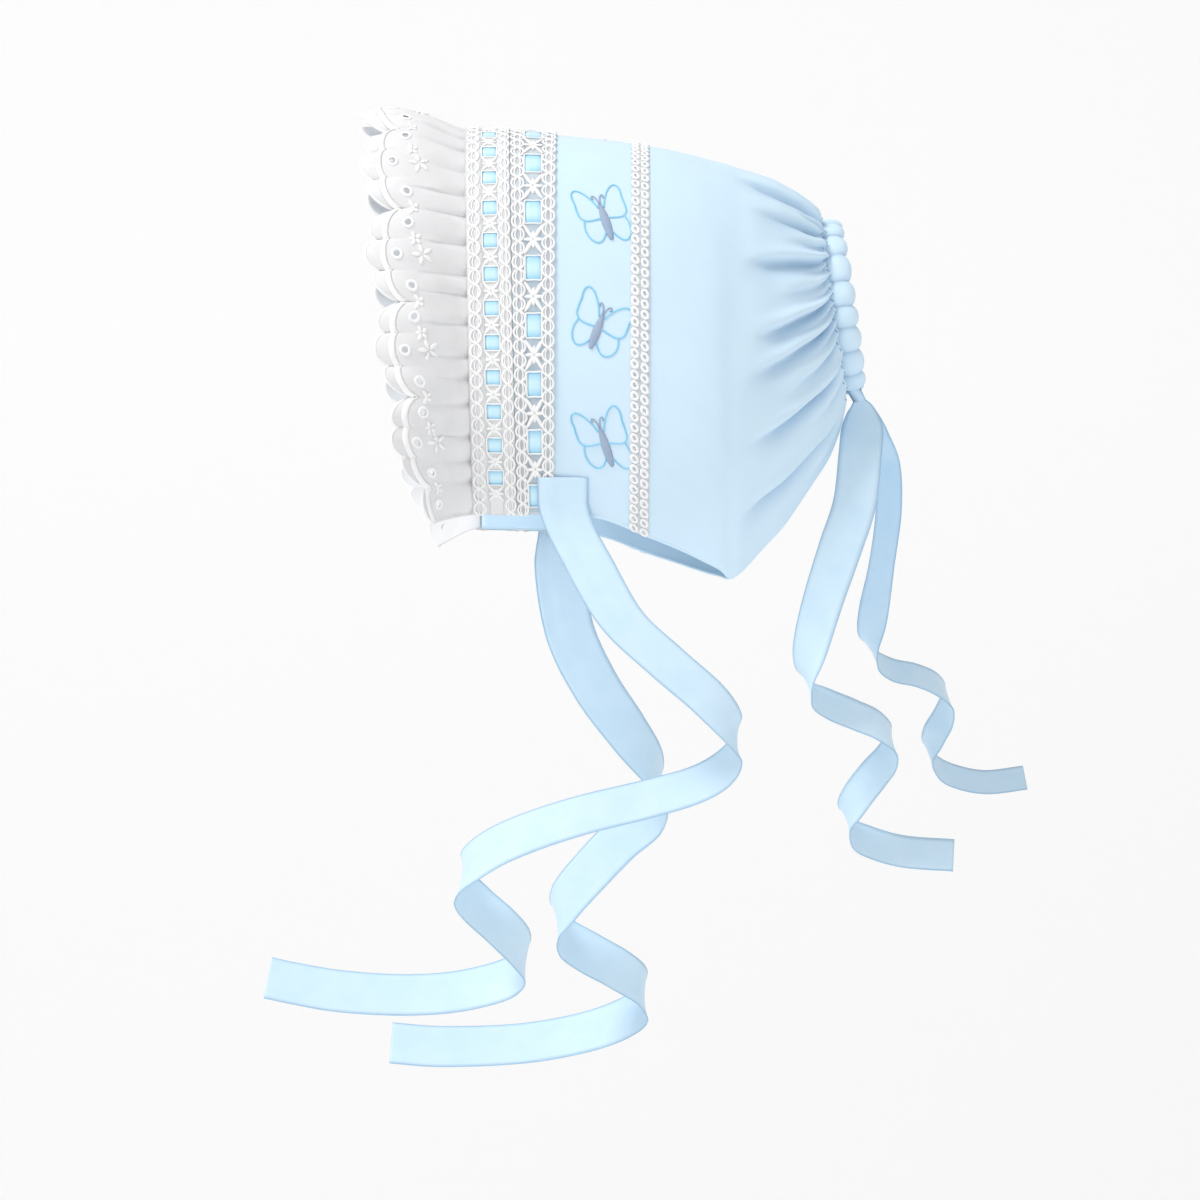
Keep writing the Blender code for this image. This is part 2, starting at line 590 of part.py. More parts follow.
build_crown()
casing_ring, casing_back, casing_low = build_casing()
build_ruffle()
band(
    "front_beading_ribbon",
    (FRONT_WINDOW[0] - RIBBON_MARGIN, FRONT_WINDOW[1] + RIBBON_MARGIN),
    None, RIBBON_LIFT, RIBBON, SATIN, 0.3, 58,
)
band(
    "front_beading_lace",
    (FRONT_LACE[0], FRONT_WINDOW[0], FRONT_WINDOW[1], FRONT_LACE[1]),
    (FRONT_WINDOWS, FRONT_FIRST, FRONT_STEP, FRONT_WINDOW_SHARE), LACE_LIFT, LACE, WHITE, 0.9, 1,
)
band(
    "second_beading_ribbon",
    (SECOND_WINDOW[0] - RIBBON_MARGIN, SECOND_WINDOW[1] + RIBBON_MARGIN),
    None, RIBBON_LIFT, RIBBON, SATIN, 0.3, 52,
)
band(
    "second_beading_lace",
    (SECOND_LACE[0], SECOND_WINDOW[0], SECOND_WINDOW[1], SECOND_LACE[1]),
    (SECOND_WINDOWS, SECOND_FIRST, SECOND_STEP, SECOND_WINDOW_SHARE), LACE_LIFT, LACE, WHITE, 0.9, 2,
)
band("narrow_trim_lace", TRIM, None, SEAM_GAP, LACE, WHITE, 0.9, 52)
build_tie("tie_left", TIE_LEFT, 1)
build_tie("tie_right", TIE_RIGHT, -1)
build_drawstring(casing_ring, casing_back, casing_low)
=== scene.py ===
import math

import bpy
import numpy as np
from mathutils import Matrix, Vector


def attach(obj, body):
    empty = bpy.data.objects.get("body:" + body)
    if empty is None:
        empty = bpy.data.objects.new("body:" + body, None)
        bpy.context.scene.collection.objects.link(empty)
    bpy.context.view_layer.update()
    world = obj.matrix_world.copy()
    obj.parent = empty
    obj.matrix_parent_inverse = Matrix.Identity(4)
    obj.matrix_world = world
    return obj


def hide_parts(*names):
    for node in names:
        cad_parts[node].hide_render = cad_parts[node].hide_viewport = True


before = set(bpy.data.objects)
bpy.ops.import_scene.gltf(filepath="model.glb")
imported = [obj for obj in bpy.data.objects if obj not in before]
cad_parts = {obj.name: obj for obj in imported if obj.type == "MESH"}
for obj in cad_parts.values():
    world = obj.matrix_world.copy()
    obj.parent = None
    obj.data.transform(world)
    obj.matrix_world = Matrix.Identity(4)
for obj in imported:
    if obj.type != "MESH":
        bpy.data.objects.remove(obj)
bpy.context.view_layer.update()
print("stage: frame loaded")

# Lengths in metres; the front faces -Y, the wearer's left is +X, the origin is inside the crown's top.
crownShape = {
    "depth": 0.150,
    "height": 0.150,
    "width": 0.118,
    "widestAt": 0.45,  # share of the height
    "topRoundFront": 2.7,  # power of the rounded top: 2 is an ellipse
    "topRoundBack": 2.2,
    "thickness": 0.0006,
    # front edge to casing: top back, top up, low back, low up, half width, half gap at the neck
    "sections": np.array([
        (-0.329, 0.032, -0.308, -0.974, 0.466, 0.271),
        (-0.226, 0.027, -0.205, -0.976, 0.483, 0.280),
        (-0.103, 0.017, -0.108, -0.979, 0.496, 0.301),
        (0.013, 0.004, 0.005, -0.992, 0.500, 0.322),
        (0.123, -0.011, 0.121, -1.035, 0.496, 0.305),
        (0.218, -0.029, 0.231, -1.076, 0.483, 0.237),
        (0.287, -0.047, 0.303, -1.105, 0.462, 0.136),
        (0.341, -0.061, 0.343, -1.118, 0.436, 0.000),
        (0.398, -0.078, 0.406, -1.057, 0.403, 0.000),
        (0.452, -0.096, 0.470, -0.987, 0.364, 0.000),
        (0.495, -0.119, 0.529, -0.902, 0.326, 0.000),
        (0.529, -0.142, 0.578, -0.828, 0.292, 0.000),
        (0.552, -0.163, 0.611, -0.756, 0.263, 0.000),
        (0.562, -0.176, 0.626, -0.697, 0.242, 0.000),
        (0.565, -0.186, 0.631, -0.666, 0.229, 0.000),
    ]),
    "neckPoint": 7.0,  # section where the neck edge ends and the centre-back seam starts
    "ring": 14.0,  # section at the casing
    "rows": 98,
    "columns": 400,
    "edgeHalf": 0.189,  # half of the front edge's length
    "uvHalf": 0.19,
    "waves": 0.00014,
    "wavesFrom": 2.4,
    "wavesOver": 3.0,
    "backGap": 0.00008,  # half of the gap left in the centre-back seam
    "hollowDepth": 0.0042,  # a gather this deep takes the full shade
}


# smooth curve through table rows: the cubic whose slope at a row is half the difference of its neighbours
def smoothRows(table, at):
    at = np.asarray(at, float).ravel()
    last = len(table) - 1
    low = np.clip(np.floor(at).astype(int), 0, last - 1)
    f = (at - low)[:, None]
    a, b = table[low], table[low + 1]
    before = np.where((low > 0)[:, None], table[np.maximum(low - 1, 0)], 2 * a - b)
    after = np.where((low < last - 1)[:, None], table[np.minimum(low + 2, last)], 2 * b - a)
    p, q = (b - before) / 2, (after - a) / 2
    slopes = (f**3 - 2 * f**2 + f) * p + (f**3 - f**2) * q
    return (2 * f**3 - 3 * f**2 + 1) * a + (3 * f**2 - 2 * f**3) * b + slopes


# one crown section: half widths of a rounded arch (a superellipse above its widest place, drawn in to the
# gap below it) against rise, cut into equal lengths from the top (0) to the neck edge (1)
def sectionLine(at, places):
    topY, topZ, lowY, lowZ, half, gap = smoothRows(crownShape["sections"], at)[0]
    top = np.array((topY * crownShape["depth"], topZ * crownShape["height"]))
    low = np.array((lowY * crownShape["depth"], lowZ * crownShape["height"]))
    half, gap = half * crownShape["width"], max(gap, 0.0) * crownShape["width"]
    closed = min(max((at - 3.0) / (crownShape["neckPoint"] - 3.0), 0.0), 1.0)
    back = min(max((at - crownShape["neckPoint"]) / (crownShape["ring"] - crownShape["neckPoint"]), 0.0), 1.0)
    power = crownShape["topRoundFront"] + (crownShape["topRoundBack"] - crownShape["topRoundFront"]) * back
    angle = np.linspace(0.0, math.pi / 2, 240)
    widest = crownShape["widestAt"]
    risesAbove = widest + (1 - widest) * np.cos(angle) ** (2 / power)
    rise = np.concatenate((risesAbove, widest * (1 - np.sin(angle[1:]))))
    upper = half * np.sin(angle) ** (2 / power)
    if at < crownShape["neckPoint"]:
        openOut = half - (half - gap) * np.sin(angle[1:]) ** 2
        roundOut = gap + (half - gap) * np.cos(angle[1:])
        lower = (1 - closed) * openOut + closed * roundOut
    else:
        lower = half * np.cos(angle[1:])
    out = np.concatenate((upper, lower))
    line = low[None, :] + rise[:, None] * (top - low)[None, :]
    step = np.hypot(np.diff(out), np.hypot(np.diff(line[:, 0]), np.diff(line[:, 1])))
    run = np.concatenate(([0.0], np.cumsum(step)))
    run /= run[-1]
    return np.stack([np.interp(places, run, values) for values in (out, line[:, 0], line[:, 1])], axis=1)


tableFirst, tableLast, tableRows, tablePlaces = -1.0, crownShape["ring"], 301, 401
crownAts = np.linspace(tableFirst, tableLast, tableRows)
crownTable = np.array([sectionLine(at, np.linspace(0, 1, tablePlaces)) for at in crownAts])
crownReach = np.zeros(crownTable.shape[:2])  # length of cloth from each spot back to the casing
crownReach[:-1] = np.cumsum(np.linalg.norm(np.diff(crownTable, axis=0), axis=2)[::-1], axis=0)[::-1]
crownTops = crownTable[:, 0, 1] / crownShape["depth"]


# value of a table at section t and place s: the mean of its four nearest entries, weighted by nearness
def readTable(table, s, t):
    row = np.clip((t - tableFirst) / (tableLast - tableFirst), 0, 1) * (tableRows - 1)
    col = np.clip(np.abs(s), 0, 1) * (tablePlaces - 1)
    r = np.minimum(row.astype(int), tableRows - 2)
    c = np.minimum(col.astype(int), tablePlaces - 2)
    fr, fc = row - r, col - c
    if table.ndim == 3:
        fr, fc = fr[..., None], fc[..., None]
    left = table[r, c] * (1 - fr) + table[r + 1, c] * fr
    right = table[r, c + 1] * (1 - fr) + table[r + 1, c + 1] * fr
    return left * (1 - fc) + right * fc


# spot on the plain crown: s runs -1 (right edge) over 0 (top) to 1 (left edge), t runs front to casing
def crownSpot(s, t):
    s, t = np.broadcast_arrays(np.asarray(s, float), np.asarray(t, float))
    spot = readTable(crownTable, s, t).copy()
    spot[..., 0] *= np.where(s < 0, -1.0, 1.0)
    return spot


# outward direction of the crown: the cross product of its two slopes
def crownOut(s, t):
    s, t = np.broadcast_arrays(np.asarray(s, float), np.asarray(t, float))
    ds, dt = 0.008, 0.08
    across = crownSpot(np.clip(s + ds, -1, 1), t) - crownSpot(np.clip(s - ds, -1, 1), t)
    later, earlier = (np.clip(t + step, tableFirst, tableLast) for step in (dt, -dt))
    along = crownSpot(s, later) - crownSpot(s, earlier)
    out = np.cross(across, along)
    return out / np.maximum(np.linalg.norm(out, axis=-1, keepdims=True), 1e-12)


# section number whose top lies at a share of the depth
def sectionAt(share):
    return np.interp(share, crownTops, crownAts)


gatherLines = {
    "halfWidth": 0.0115,
    "widen": 0.9,
    "steepSide": 0.45,
    "softSide": 1.7,
    "ridge": 0.35,
    "strength": 2.0,
    "fadeRows": 1.7,
    "fadeSway": 0.35,
    # place round the side (0 top, 1 bottom), reach as a share of the depth, drift, depth in metres
    "table": np.array([
        (0.050, 0.12, 0.00, 0.0014),
        (0.150, 0.62, -0.03, 0.0024),
        (0.190, 0.16, 0.00, 0.0014),
        (0.223, 0.36, 0.00, 0.0022),
        (0.281, 0.16, 0.00, 0.0014),
        (0.332, 0.55, 0.00, 0.0028),
        (0.363, 0.12, 0.00, 0.0012),
        (0.405, 0.22, 0.01, 0.0016),
        (0.442, 0.14, 0.00, 0.0012),
        (0.474, 0.62, 0.02, 0.0030),
        (0.513, 0.16, 0.00, 0.0014),
        (0.548, 0.58, 0.01, 0.0028),
        (0.590, 0.16, 0.00, 0.0014),
        (0.632, 0.28, 0.00, 0.0020),
        (0.710, 0.70, -0.05, 0.0032),
        (0.780, 0.20, -0.02, 0.0014),
        (0.850, 0.85, -0.07, 0.0034),
        (0.930, 0.25, 0.00, 0.0014),
    ]),
}


# how far the gathers draw the cloth in: each is a bell with a steep upper and a soft lower side and a low ridge
# above it, it shrinks along its reach from the casing, and all fade out forward of the neck edge's rear end
def gatherDepth(s, t):
    lines = gatherLines
    reach = readTable(crownReach, s, t)
    place = np.abs(s)
    drawn = np.zeros(np.shape(place))
    for at, far, drift, depth in lines["table"]:
        share = np.clip(reach / (far * crownShape["depth"]), 0, 1)
        off = place - (at + drift * share)
        half = lines["halfWidth"] * (1 + lines["widen"] * share)
        sideHalf = half * np.where(off < 0, lines["steepSide"], lines["softSide"])
        valley = np.exp(-np.abs(off / sideHalf) ** 1.5)
        valley = valley - lines["ridge"] * np.exp(-((off / half + 1.5) ** 2))
        drawn += lines["strength"] * depth * valley * (1 - share) ** 1.3 * np.minimum(1, 0.35 + share * 6)
    start = crownShape["neckPoint"] - 0.1 + lines["fadeSway"] * (1 + np.sin(place * 27.0 + 0.6))
    behind = np.clip((t - start) / lines["fadeRows"], 0, 1)
    return drawn * behind**2 * (3 - 2 * behind)


# soft unevenness of worn cloth: a sum of long crossed waves with fixed phases
def softWaves(s, t, height):
    a = np.sin(7.1 * s + 1.3 * t + 0.4) * np.sin(1.9 * t - 3.3 * s + 1.1)
    b = np.sin(15.7 * s - 2.1 * t + 2.2) * np.sin(3.1 * t + 9.4 * s)
    return height * (a + 0.5 * b)


# shaded mesh of a piece from arrays: corners of quads, then closing caps of equal size
def buildPiece(name, points, quads, uv, material, body="root", caps=None):
    mesh = bpy.data.meshes.new(name)
    loops = quads.reshape(-1)
    starts = np.arange(len(quads)) * 4
    if caps is not None and len(caps):
        starts = np.concatenate((starts, len(loops) + np.arange(len(caps)) * caps.shape[1]))
        loops = np.concatenate((loops, caps.reshape(-1)))
    mesh.vertices.add(len(points))
    mesh.vertices.foreach_set("co", np.ascontiguousarray(points, dtype=np.float32).reshape(-1))
    mesh.loops.add(len(loops))
    mesh.loops.foreach_set("vertex_index", loops.astype(np.int32))
    mesh.polygons.add(len(starts))
    mesh.polygons.foreach_set("loop_start", starts.astype(np.int32))
    mesh.update(calc_edges=True)
    layer = mesh.uv_layers.new(name="flat")
    layer.data.foreach_set("uv", np.ascontiguousarray(uv[loops], dtype=np.float32).reshape(-1))
    mesh.polygons.foreach_set("use_smooth", np.ones(len(starts), dtype=bool))
    mesh.materials.append(material)
    mesh.validate()
    piece = bpy.data.objects.new(name, mesh)
    bpy.context.scene.collection.objects.link(piece)
    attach(piece, body)
    return piece


# unit normals of grids of spots from their two slopes
def gridOut(grid, wrapped=False):
    if wrapped:
        across = np.roll(grid, -1, axis=-2) - np.roll(grid, 1, axis=-2)
    else:
        across = np.gradient(grid, axis=-2)
    out = np.cross(across, np.gradient(grid, axis=-3))
    return out / np.maximum(np.linalg.norm(out, axis=-1, keepdims=True), 1e-12)


# cloth of even thickness: each grid, the same grid moved in along its normals, and rims between the two
def clothArrays(grid, uvGrid, thickness, wrapped=False, centred=False):
    grid = grid if grid.ndim == 4 else grid[None]
    out = gridOut(grid, wrapped)
    upper = grid + out * (thickness / 2 if centred else 0.0)
    lower = grid - out * (thickness / 2 if centred else thickness)
    number = np.arange(grid.size // 3).reshape(grid.shape[:3])
    a, b = number, number + number.size
    if wrapped:
        a, b = np.concatenate((a, a[:, :, :1]), axis=2), np.concatenate((b, b[:, :, :1]), axis=2)
    faces = [
        np.stack((a[:, :-1, :-1], a[:, :-1, 1:], a[:, 1:, 1:], a[:, 1:, :-1]), axis=-1),
        np.stack((b[:, :-1, :-1], b[:, 1:, :-1], b[:, 1:, 1:], b[:, :-1, 1:]), axis=-1),
        np.stack((a[:, 0, 1:], a[:, 0, :-1], b[:, 0, :-1], b[:, 0, 1:]), axis=-1),
        np.stack((a[:, -1, :-1], a[:, -1, 1:], b[:, -1, 1:], b[:, -1, :-1]), axis=-1),
    ]
    if not wrapped:
        faces.append(np.stack((a[:, :-1, 0], a[:, 1:, 0], b[:, 1:, 0], b[:, :-1, 0]), axis=-1))
        faces.append(np.stack((a[:, 1:, -1], a[:, :-1, -1], b[:, :-1, -1], b[:, 1:, -1]), axis=-1))
    points = np.concatenate((upper.reshape(-1, 3), lower.reshape(-1, 3)))
    uv = np.concatenate((uvGrid.reshape(-1, 2), uvGrid.reshape(-1, 2)))
    return points, np.concatenate([corners.reshape(-1, 4) for corners in faces]), uv


# piece of cloth: the arrays of one grid, made a mesh
def clothPiece(name, grid, uvGrid, thickness, material, wrapped=False, centred=False):
    points, quads, uv = clothArrays(grid, uvGrid, thickness, wrapped, centred)
    return buildPiece(name, points, quads, uv, material)


# further map on a piece of cloth, alike on both of its sides
def addMap(piece, name, values):
    layer = piece.data.uv_layers.new(name=name)
    values = np.concatenate((values.reshape(-1, 2), values.reshape(-1, 2)))
    corner = np.zeros(len(piece.data.loops), dtype=np.int32)
    piece.data.loops.foreach_get("vertex_index", corner)
    layer.data.foreach_set("uv", values[corner].astype(np.float32).reshape(-1))


# many cords in one piece: an oval profile carried along each path, its long side laid on the cloth
def cordPiece(name, paths, outs, half, rise, material, slotName, closed, sides=6, taper=False):
    paths, outs = np.asarray(paths), np.asarray(outs)
    count, steps = paths.shape[:2]
    if closed:
        run = np.roll(paths, -1, axis=1) - np.roll(paths, 1, axis=1)
    else:
        run = np.gradient(paths, axis=1)
    run /= np.maximum(np.linalg.norm(run, axis=2, keepdims=True), 1e-12)
    side = np.cross(outs, run)
    side /= np.maximum(np.linalg.norm(side, axis=2, keepdims=True), 1e-12)
    up = np.cross(run, side)
    angle = np.arange(sides) * 2 * math.pi / sides
    size = np.ones((1, steps, 1, 1))
    if taper:
        share = np.linspace(-1, 1, steps)
        size = np.sqrt(np.clip(1.02 - share**4, 0.02, 1))[None, :, None, None]
    half = np.broadcast_to(np.asarray(half, float), (count, steps))[:, :, None, None]
    rise = np.broadcast_to(np.asarray(rise, float), (count, steps))[:, :, None, None]
    ring = side[:, :, None] * half * np.cos(angle)[None, None, :, None]
    ring = (ring + up[:, :, None] * rise * np.sin(angle)[None, None, :, None]) * size
    points = (paths[:, :, None] + ring).reshape(-1, 3)
    number = np.arange(count * steps * sides).reshape(count, steps, sides)
    number = np.concatenate((number, number[:, :, :1]), axis=2)
    caps = None
    if closed:
        number = np.concatenate((number, number[:, :1]), axis=1)
    else:
        caps = np.concatenate((number[:, 0, :sides][:, ::-1], number[:, -1, :sides]))
    quads = np.stack((number[:, :-1, :-1], number[:, 1:, :-1], number[:, 1:, 1:], number[:, :-1, 1:]), axis=-1)
    stepLengths = np.linalg.norm(np.diff(paths, axis=1), axis=2)
    length = np.concatenate((np.zeros((count, 1)), np.cumsum(stepLengths, axis=1)), axis=1)
    uv = np.stack((
        np.broadcast_to(length[:, :, None], (count, steps, sides)),
        np.broadcast_to((angle / (2 * math.pi) * 0.004)[None, None], (count, steps, sides)),
    ), axis=-1).reshape(-1, 2)
    return buildPiece(name, points, quads.reshape(-1, 4)[:, ::-1], uv, material, caps=caps)


print("stage: shapes defined")


# shader group with named inputs and outputs
def newGroup(name, inputs, outputs):
    group = bpy.data.node_groups.new(name, "ShaderNodeTree")
    for label, kind, value in inputs:
        socket = group.interface.new_socket(label, in_out="INPUT", socket_type=kind)
        if value is not None:
            socket.default_value = value
    for label, kind in outputs:
        group.interface.new_socket(label, in_out="OUTPUT", socket_type=kind)
    return group, group.nodes.new("NodeGroupInput"), group.nodes.new("NodeGroupOutput")


# one math node on one or two values, each a number or another node's output
def mathNode(tree, operation, first, second=None):
    node = tree.nodes.new("ShaderNodeMath")
    node.operation = operation
    for slotNumber, value in enumerate((first, second)):
        if value is None:
            continue
        if isinstance(value, (int, float)):
            node.inputs[slotNumber].default_value = value
        else:
            tree.links.new(value, node.inputs[slotNumber])
    return node.outputs[0]


# threads crossing over and under: height is the larger of two sine ridges half a thread apart
def makeWeaveGroup():
    group, start, end = newGroup(
        "plain weave",
        [
            ("Flat place", "NodeSocketVector", None),
            ("Threads per metre", "NodeSocketFloat", 2600.0),
            ("Across only", "NodeSocketFloat", 0.0),
        ],
        [("Height", "NodeSocketFloat"), ("Tone", "NodeSocketFloat")],
    )
    split = group.nodes.new("ShaderNodeSeparateXYZ")
    group.links.new(start.outputs["Flat place"], split.inputs[0])
    turns = mathNode(group, "MULTIPLY", start.outputs["Threads per metre"], math.pi)
    across = mathNode(group, "MULTIPLY", split.outputs[0], turns)
    along = mathNode(group, "MULTIPLY", split.outputs[1], turns)
    ridgeA = mathNode(group, "ABSOLUTE", mathNode(group, "SINE", across))
    ridgeB = mathNode(group, "ABSOLUTE", mathNode(group, "SINE", along))
    checker = mathNode(group, "MULTIPLY", mathNode(group, "SINE", across), mathNode(group, "SINE", along))
    higher = mathNode(group, "MAXIMUM", ridgeA, ridgeB)
    woven = mathNode(group, "ADD", higher, mathNode(group, "MULTIPLY", checker, 0.35))
    keep = mathNode(group, "SUBTRACT", 1.0, start.outputs["Across only"])
    plain = mathNode(group, "MULTIPLY", woven, keep)
    lined = mathNode(group, "MULTIPLY", ridgeB, start.outputs["Across only"])
    noise = group.nodes.new("ShaderNodeTexNoise")
    noise.inputs["Scale"].default_value = 90.0
    noise.inputs["Detail"].default_value = 4.0
    group.links.new(start.outputs["Flat place"], noise.inputs["Vector"])
    threads = mathNode(group, "ADD", plain, lined)
    height = mathNode(group, "ADD", threads, mathNode(group, "MULTIPLY", noise.outputs[0], 0.6))
    group.links.new(height, end.inputs["Height"])
    group.links.new(noise.outputs[0], end.inputs["Tone"])
    return group


# round holes: cloth is wherever the distance from the lobe's eyelet is more than the hole's radius
def makeEyeletGroup():
    group, start, end = newGroup(
        "eyelet holes",
        [("Lobe place", "NodeSocketVector", None), ("Hole radius", "NodeSocketFloat", 0.0019)],
        [("Cloth", "NodeSocketFloat")],
    )
    split = group.nodes.new("ShaderNodeSeparateXYZ")
    group.links.new(start.outputs["Lobe place"], split.inputs[0])
    wide, far = (mathNode(group, "POWER", split.outputs[number], 2.0) for number in (0, 1))
    distance = mathNode(group, "SQRT", mathNode(group, "ADD", wide, far))
    cloth = mathNode(group, "GREATER_THAN", distance, start.outputs["Hole radius"])
    group.links.new(cloth, end.inputs["Cloth"])
    return group


# net of crossing slanted threads: a spot is thread where either slanted sine is near zero
def makeNetGroup():
    group, start, end = newGroup(
        "slanted net",
        [
            ("Flat place", "NodeSocketVector", None),
            ("Mesh", "NodeSocketFloat", 0.0010),
            ("Thread share", "NodeSocketFloat", 0.40),
        ],
        [("Thread", "NodeSocketFloat")],
    )
    split = group.nodes.new("ShaderNodeSeparateXYZ")
    group.links.new(start.outputs["Flat place"], split.inputs[0])
    turns = mathNode(group, "DIVIDE", math.pi, start.outputs["Mesh"])
    plus = mathNode(group, "ADD", split.outputs[0], split.outputs[1])
    minus = mathNode(group, "SUBTRACT", split.outputs[0], split.outputs[1])
    waveA = mathNode(group, "ABSOLUTE", mathNode(group, "SINE", mathNode(group, "MULTIPLY", plus, turns)))
    waveB = mathNode(group, "ABSOLUTE", mathNode(group, "SINE", mathNode(group, "MULTIPLY", minus, turns)))
    nearest = mathNode(group, "MINIMUM", waveA, waveB)
    group.links.new(mathNode(group, "LESS_THAN", nearest, start.outputs["Thread share"]), end.inputs["Thread"])
    return group


weaveGroup = makeWeaveGroup()
eyeletGroup = makeEyeletGroup()
netGroup = makeNetGroup()


# first colour (where a map of painted light and shade or the noise is high), second colour (where it is low),
# threads per metre, bump, roughness, sheen
finishes = {
    "cotton": ((0.665, 0.838, 0.975), (0.625, 0.812, 0.960), 2600.0, 0.10, 0.85, 0.15),
    # gathered: the first colour is painted shade, laid into the gathers' folds by their map; the noise adds a
    # little real tone
    "gathered": ((0.430, 0.600, 0.770), (0.665, 0.838, 0.975), 2600.0, 0.10, 0.85, 0.15),
    "seam": ((0.230, 0.420, 0.620), (0.300, 0.500, 0.700), 3600.0, 0.20, 0.60, 0.10),
    "satin": ((0.640, 0.825, 0.970), (0.605, 0.800, 0.955), 3000.0, 0.06, 0.48, 0.20),
    # beadingSatin: the first colour is painted light in the middle of each window, the second painted shade where
    # the ribbon passes under the lace
    "beadingSatin": ((0.600, 0.850, 0.970), (0.180, 0.560, 0.830), 2500.0, 0.15, 0.35, 0.10),
    "selvage": ((0.420, 0.640, 0.830), (0.380, 0.600, 0.800), 3000.0, 0.20, 0.50, 0.10),
    "eyelet": ((0.800, 0.800, 0.810), (0.760, 0.760, 0.770), 2600.0, 0.10, 0.90, 0.20),
    # laceGround: a greyer copy of the white lace, painted shade on the ground between the raised cords
    "laceGround": ((0.800, 0.805, 0.815), (0.740, 0.745, 0.760), 1400.0, 0.60, 0.90, 0.10),
    "lace": ((0.960, 0.960, 0.960), (0.910, 0.910, 0.915), 3200.0, 0.25, 0.85, 0.15),
    "wingThread": ((0.240, 0.610, 0.860), (0.310, 0.670, 0.890), 3600.0, 0.30, 0.50, 0.20),
    "bodyThread": ((0.310, 0.400, 0.540), (0.370, 0.460, 0.600), 3600.0, 0.30, 0.50, 0.20),
}


# finish of one cloth: two colours mixed by soft noise, or by a map of painted light and shade plus a little of
# that noise, with a bump of threads; holes are cut where the lobe map is inside an eyelet or where the net has no
# thread
def makeFinish(name, key, lined=0.0, holeRadius=0.0, net=0.0, gloss=0.3, through=0.0, lightShadeMap=""):
    colour, shade, threads, bumpStrength, roughness, sheen = finishes[key]
    material = bpy.data.materials.new(name)
    material.use_nodes = True
    tree = material.node_tree
    shader = tree.nodes["Principled BSDF"]
    place = tree.nodes.new("ShaderNodeUVMap")
    place.uv_map = "flat"
    weave = tree.nodes.new("ShaderNodeGroup")
    weave.node_tree = weaveGroup
    weave.inputs["Threads per metre"].default_value = threads
    weave.inputs["Across only"].default_value = lined
    tree.links.new(place.outputs[0], weave.inputs["Flat place"])
    mix = tree.nodes.new("ShaderNodeMix")
    mix.data_type = "RGBA"
    mix.inputs["A"].default_value = (*shade, 1.0)
    mix.inputs["B"].default_value = (*colour, 1.0)
    ramp = tree.nodes.new("ShaderNodeMapRange")
    if lightShadeMap:
        # painted light and shade: a map on the piece picks the colour, darker where shade falls in folds or under
        # lace
        lightShadeNode = tree.nodes.new("ShaderNodeUVMap")
        lightShadeNode.uv_map = lightShadeMap
        ends = tree.nodes.new("ShaderNodeSeparateXYZ")
        tree.links.new(lightShadeNode.outputs[0], ends.inputs[0])
        mottle = mathNode(tree, "MULTIPLY", weave.outputs["Tone"], 0.16)
        tree.links.new(mathNode(tree, "ADD", ends.outputs[0], mottle), ramp.inputs["Value"])
    else:
        ramp.inputs["From Min"].default_value = 0.35
        ramp.inputs["From Max"].default_value = 0.60
        tree.links.new(weave.outputs["Tone"], ramp.inputs["Value"])
    tree.links.new(ramp.outputs[0], mix.inputs["Factor"])
    tree.links.new(mix.outputs["Result"], shader.inputs["Base Color"])
    bump = tree.nodes.new("ShaderNodeBump")
    bump.inputs["Strength"].default_value = bumpStrength
    bump.inputs["Distance"].default_value = 0.0002
    tree.links.new(weave.outputs["Height"], bump.inputs["Height"])
    tree.links.new(bump.outputs[0], shader.inputs["Normal"])
    shader.inputs["Roughness"].default_value = roughness
    shader.inputs["Specular IOR Level"].default_value = gloss
    shader.inputs["Sheen Weight"].default_value = sheen
    shader.inputs["Sheen Roughness"].default_value = 0.4
    if through > 0:
        shader.inputs["Subsurface Weight"].default_value = through
        shader.inputs["Subsurface Radius"].default_value = (0.002, 0.002, 0.002)
    if holeRadius > 0:
        lobePlace = tree.nodes.new("ShaderNodeUVMap")
        lobePlace.uv_map = "lobe"
        holes = tree.nodes.new("ShaderNodeGroup")
        holes.node_tree = eyeletGroup
        holes.inputs["Hole radius"].default_value = holeRadius
        tree.links.new(lobePlace.outputs[0], holes.inputs["Lobe place"])
        tree.links.new(holes.outputs["Cloth"], shader.inputs["Alpha"])
    if net > 0:
        mesh = tree.nodes.new("ShaderNodeGroup")
        mesh.node_tree = netGroup
        mesh.inputs["Thread share"].default_value = net
        tree.links.new(place.outputs[0], mesh.inputs["Flat place"])
        tree.links.new(mesh.outputs["Thread"], shader.inputs["Alpha"])
    return material


cottonFinish = makeFinish("pale blue cotton", "cotton", through=0.1)
# crown and casing cloth: pale blue cotton with painted shade in the folds of the gathers
gatheredFinish = makeFinish("pale blue cotton with painted fold shade", "gathered", through=0.1, lightShadeMap="paintedFoldShade")
seamFinish = makeFinish("blue sewing thread", "seam")
satinFinish = makeFinish("pale blue satin", "satin", lined=1.0, gloss=0.5)
# beading ribbon satin: painted light in each window's middle, painted shade towards the window's ends under the
# bridges
beadingFinish = makeFinish("sky blue satin", "beadingSatin", lined=1.0, gloss=0.5, lightShadeMap="windowLightShade")
selvageFinish = makeFinish("satin selvage", "selvage")
# ground of the front beading: the white lace made greyer, painted shade that sets its raised cords apart
groundFinish = makeFinish("white lace ground", "laceGround")
laceFinish = makeFinish("white lace thread", "lace")
netFinish = makeFinish("white lace net", "lace", net=0.38)
wingFinish = makeFinish("sky blue embroidery thread", "wingThread")
bodyFinish = makeFinish("grey blue embroidery thread", "bodyThread")


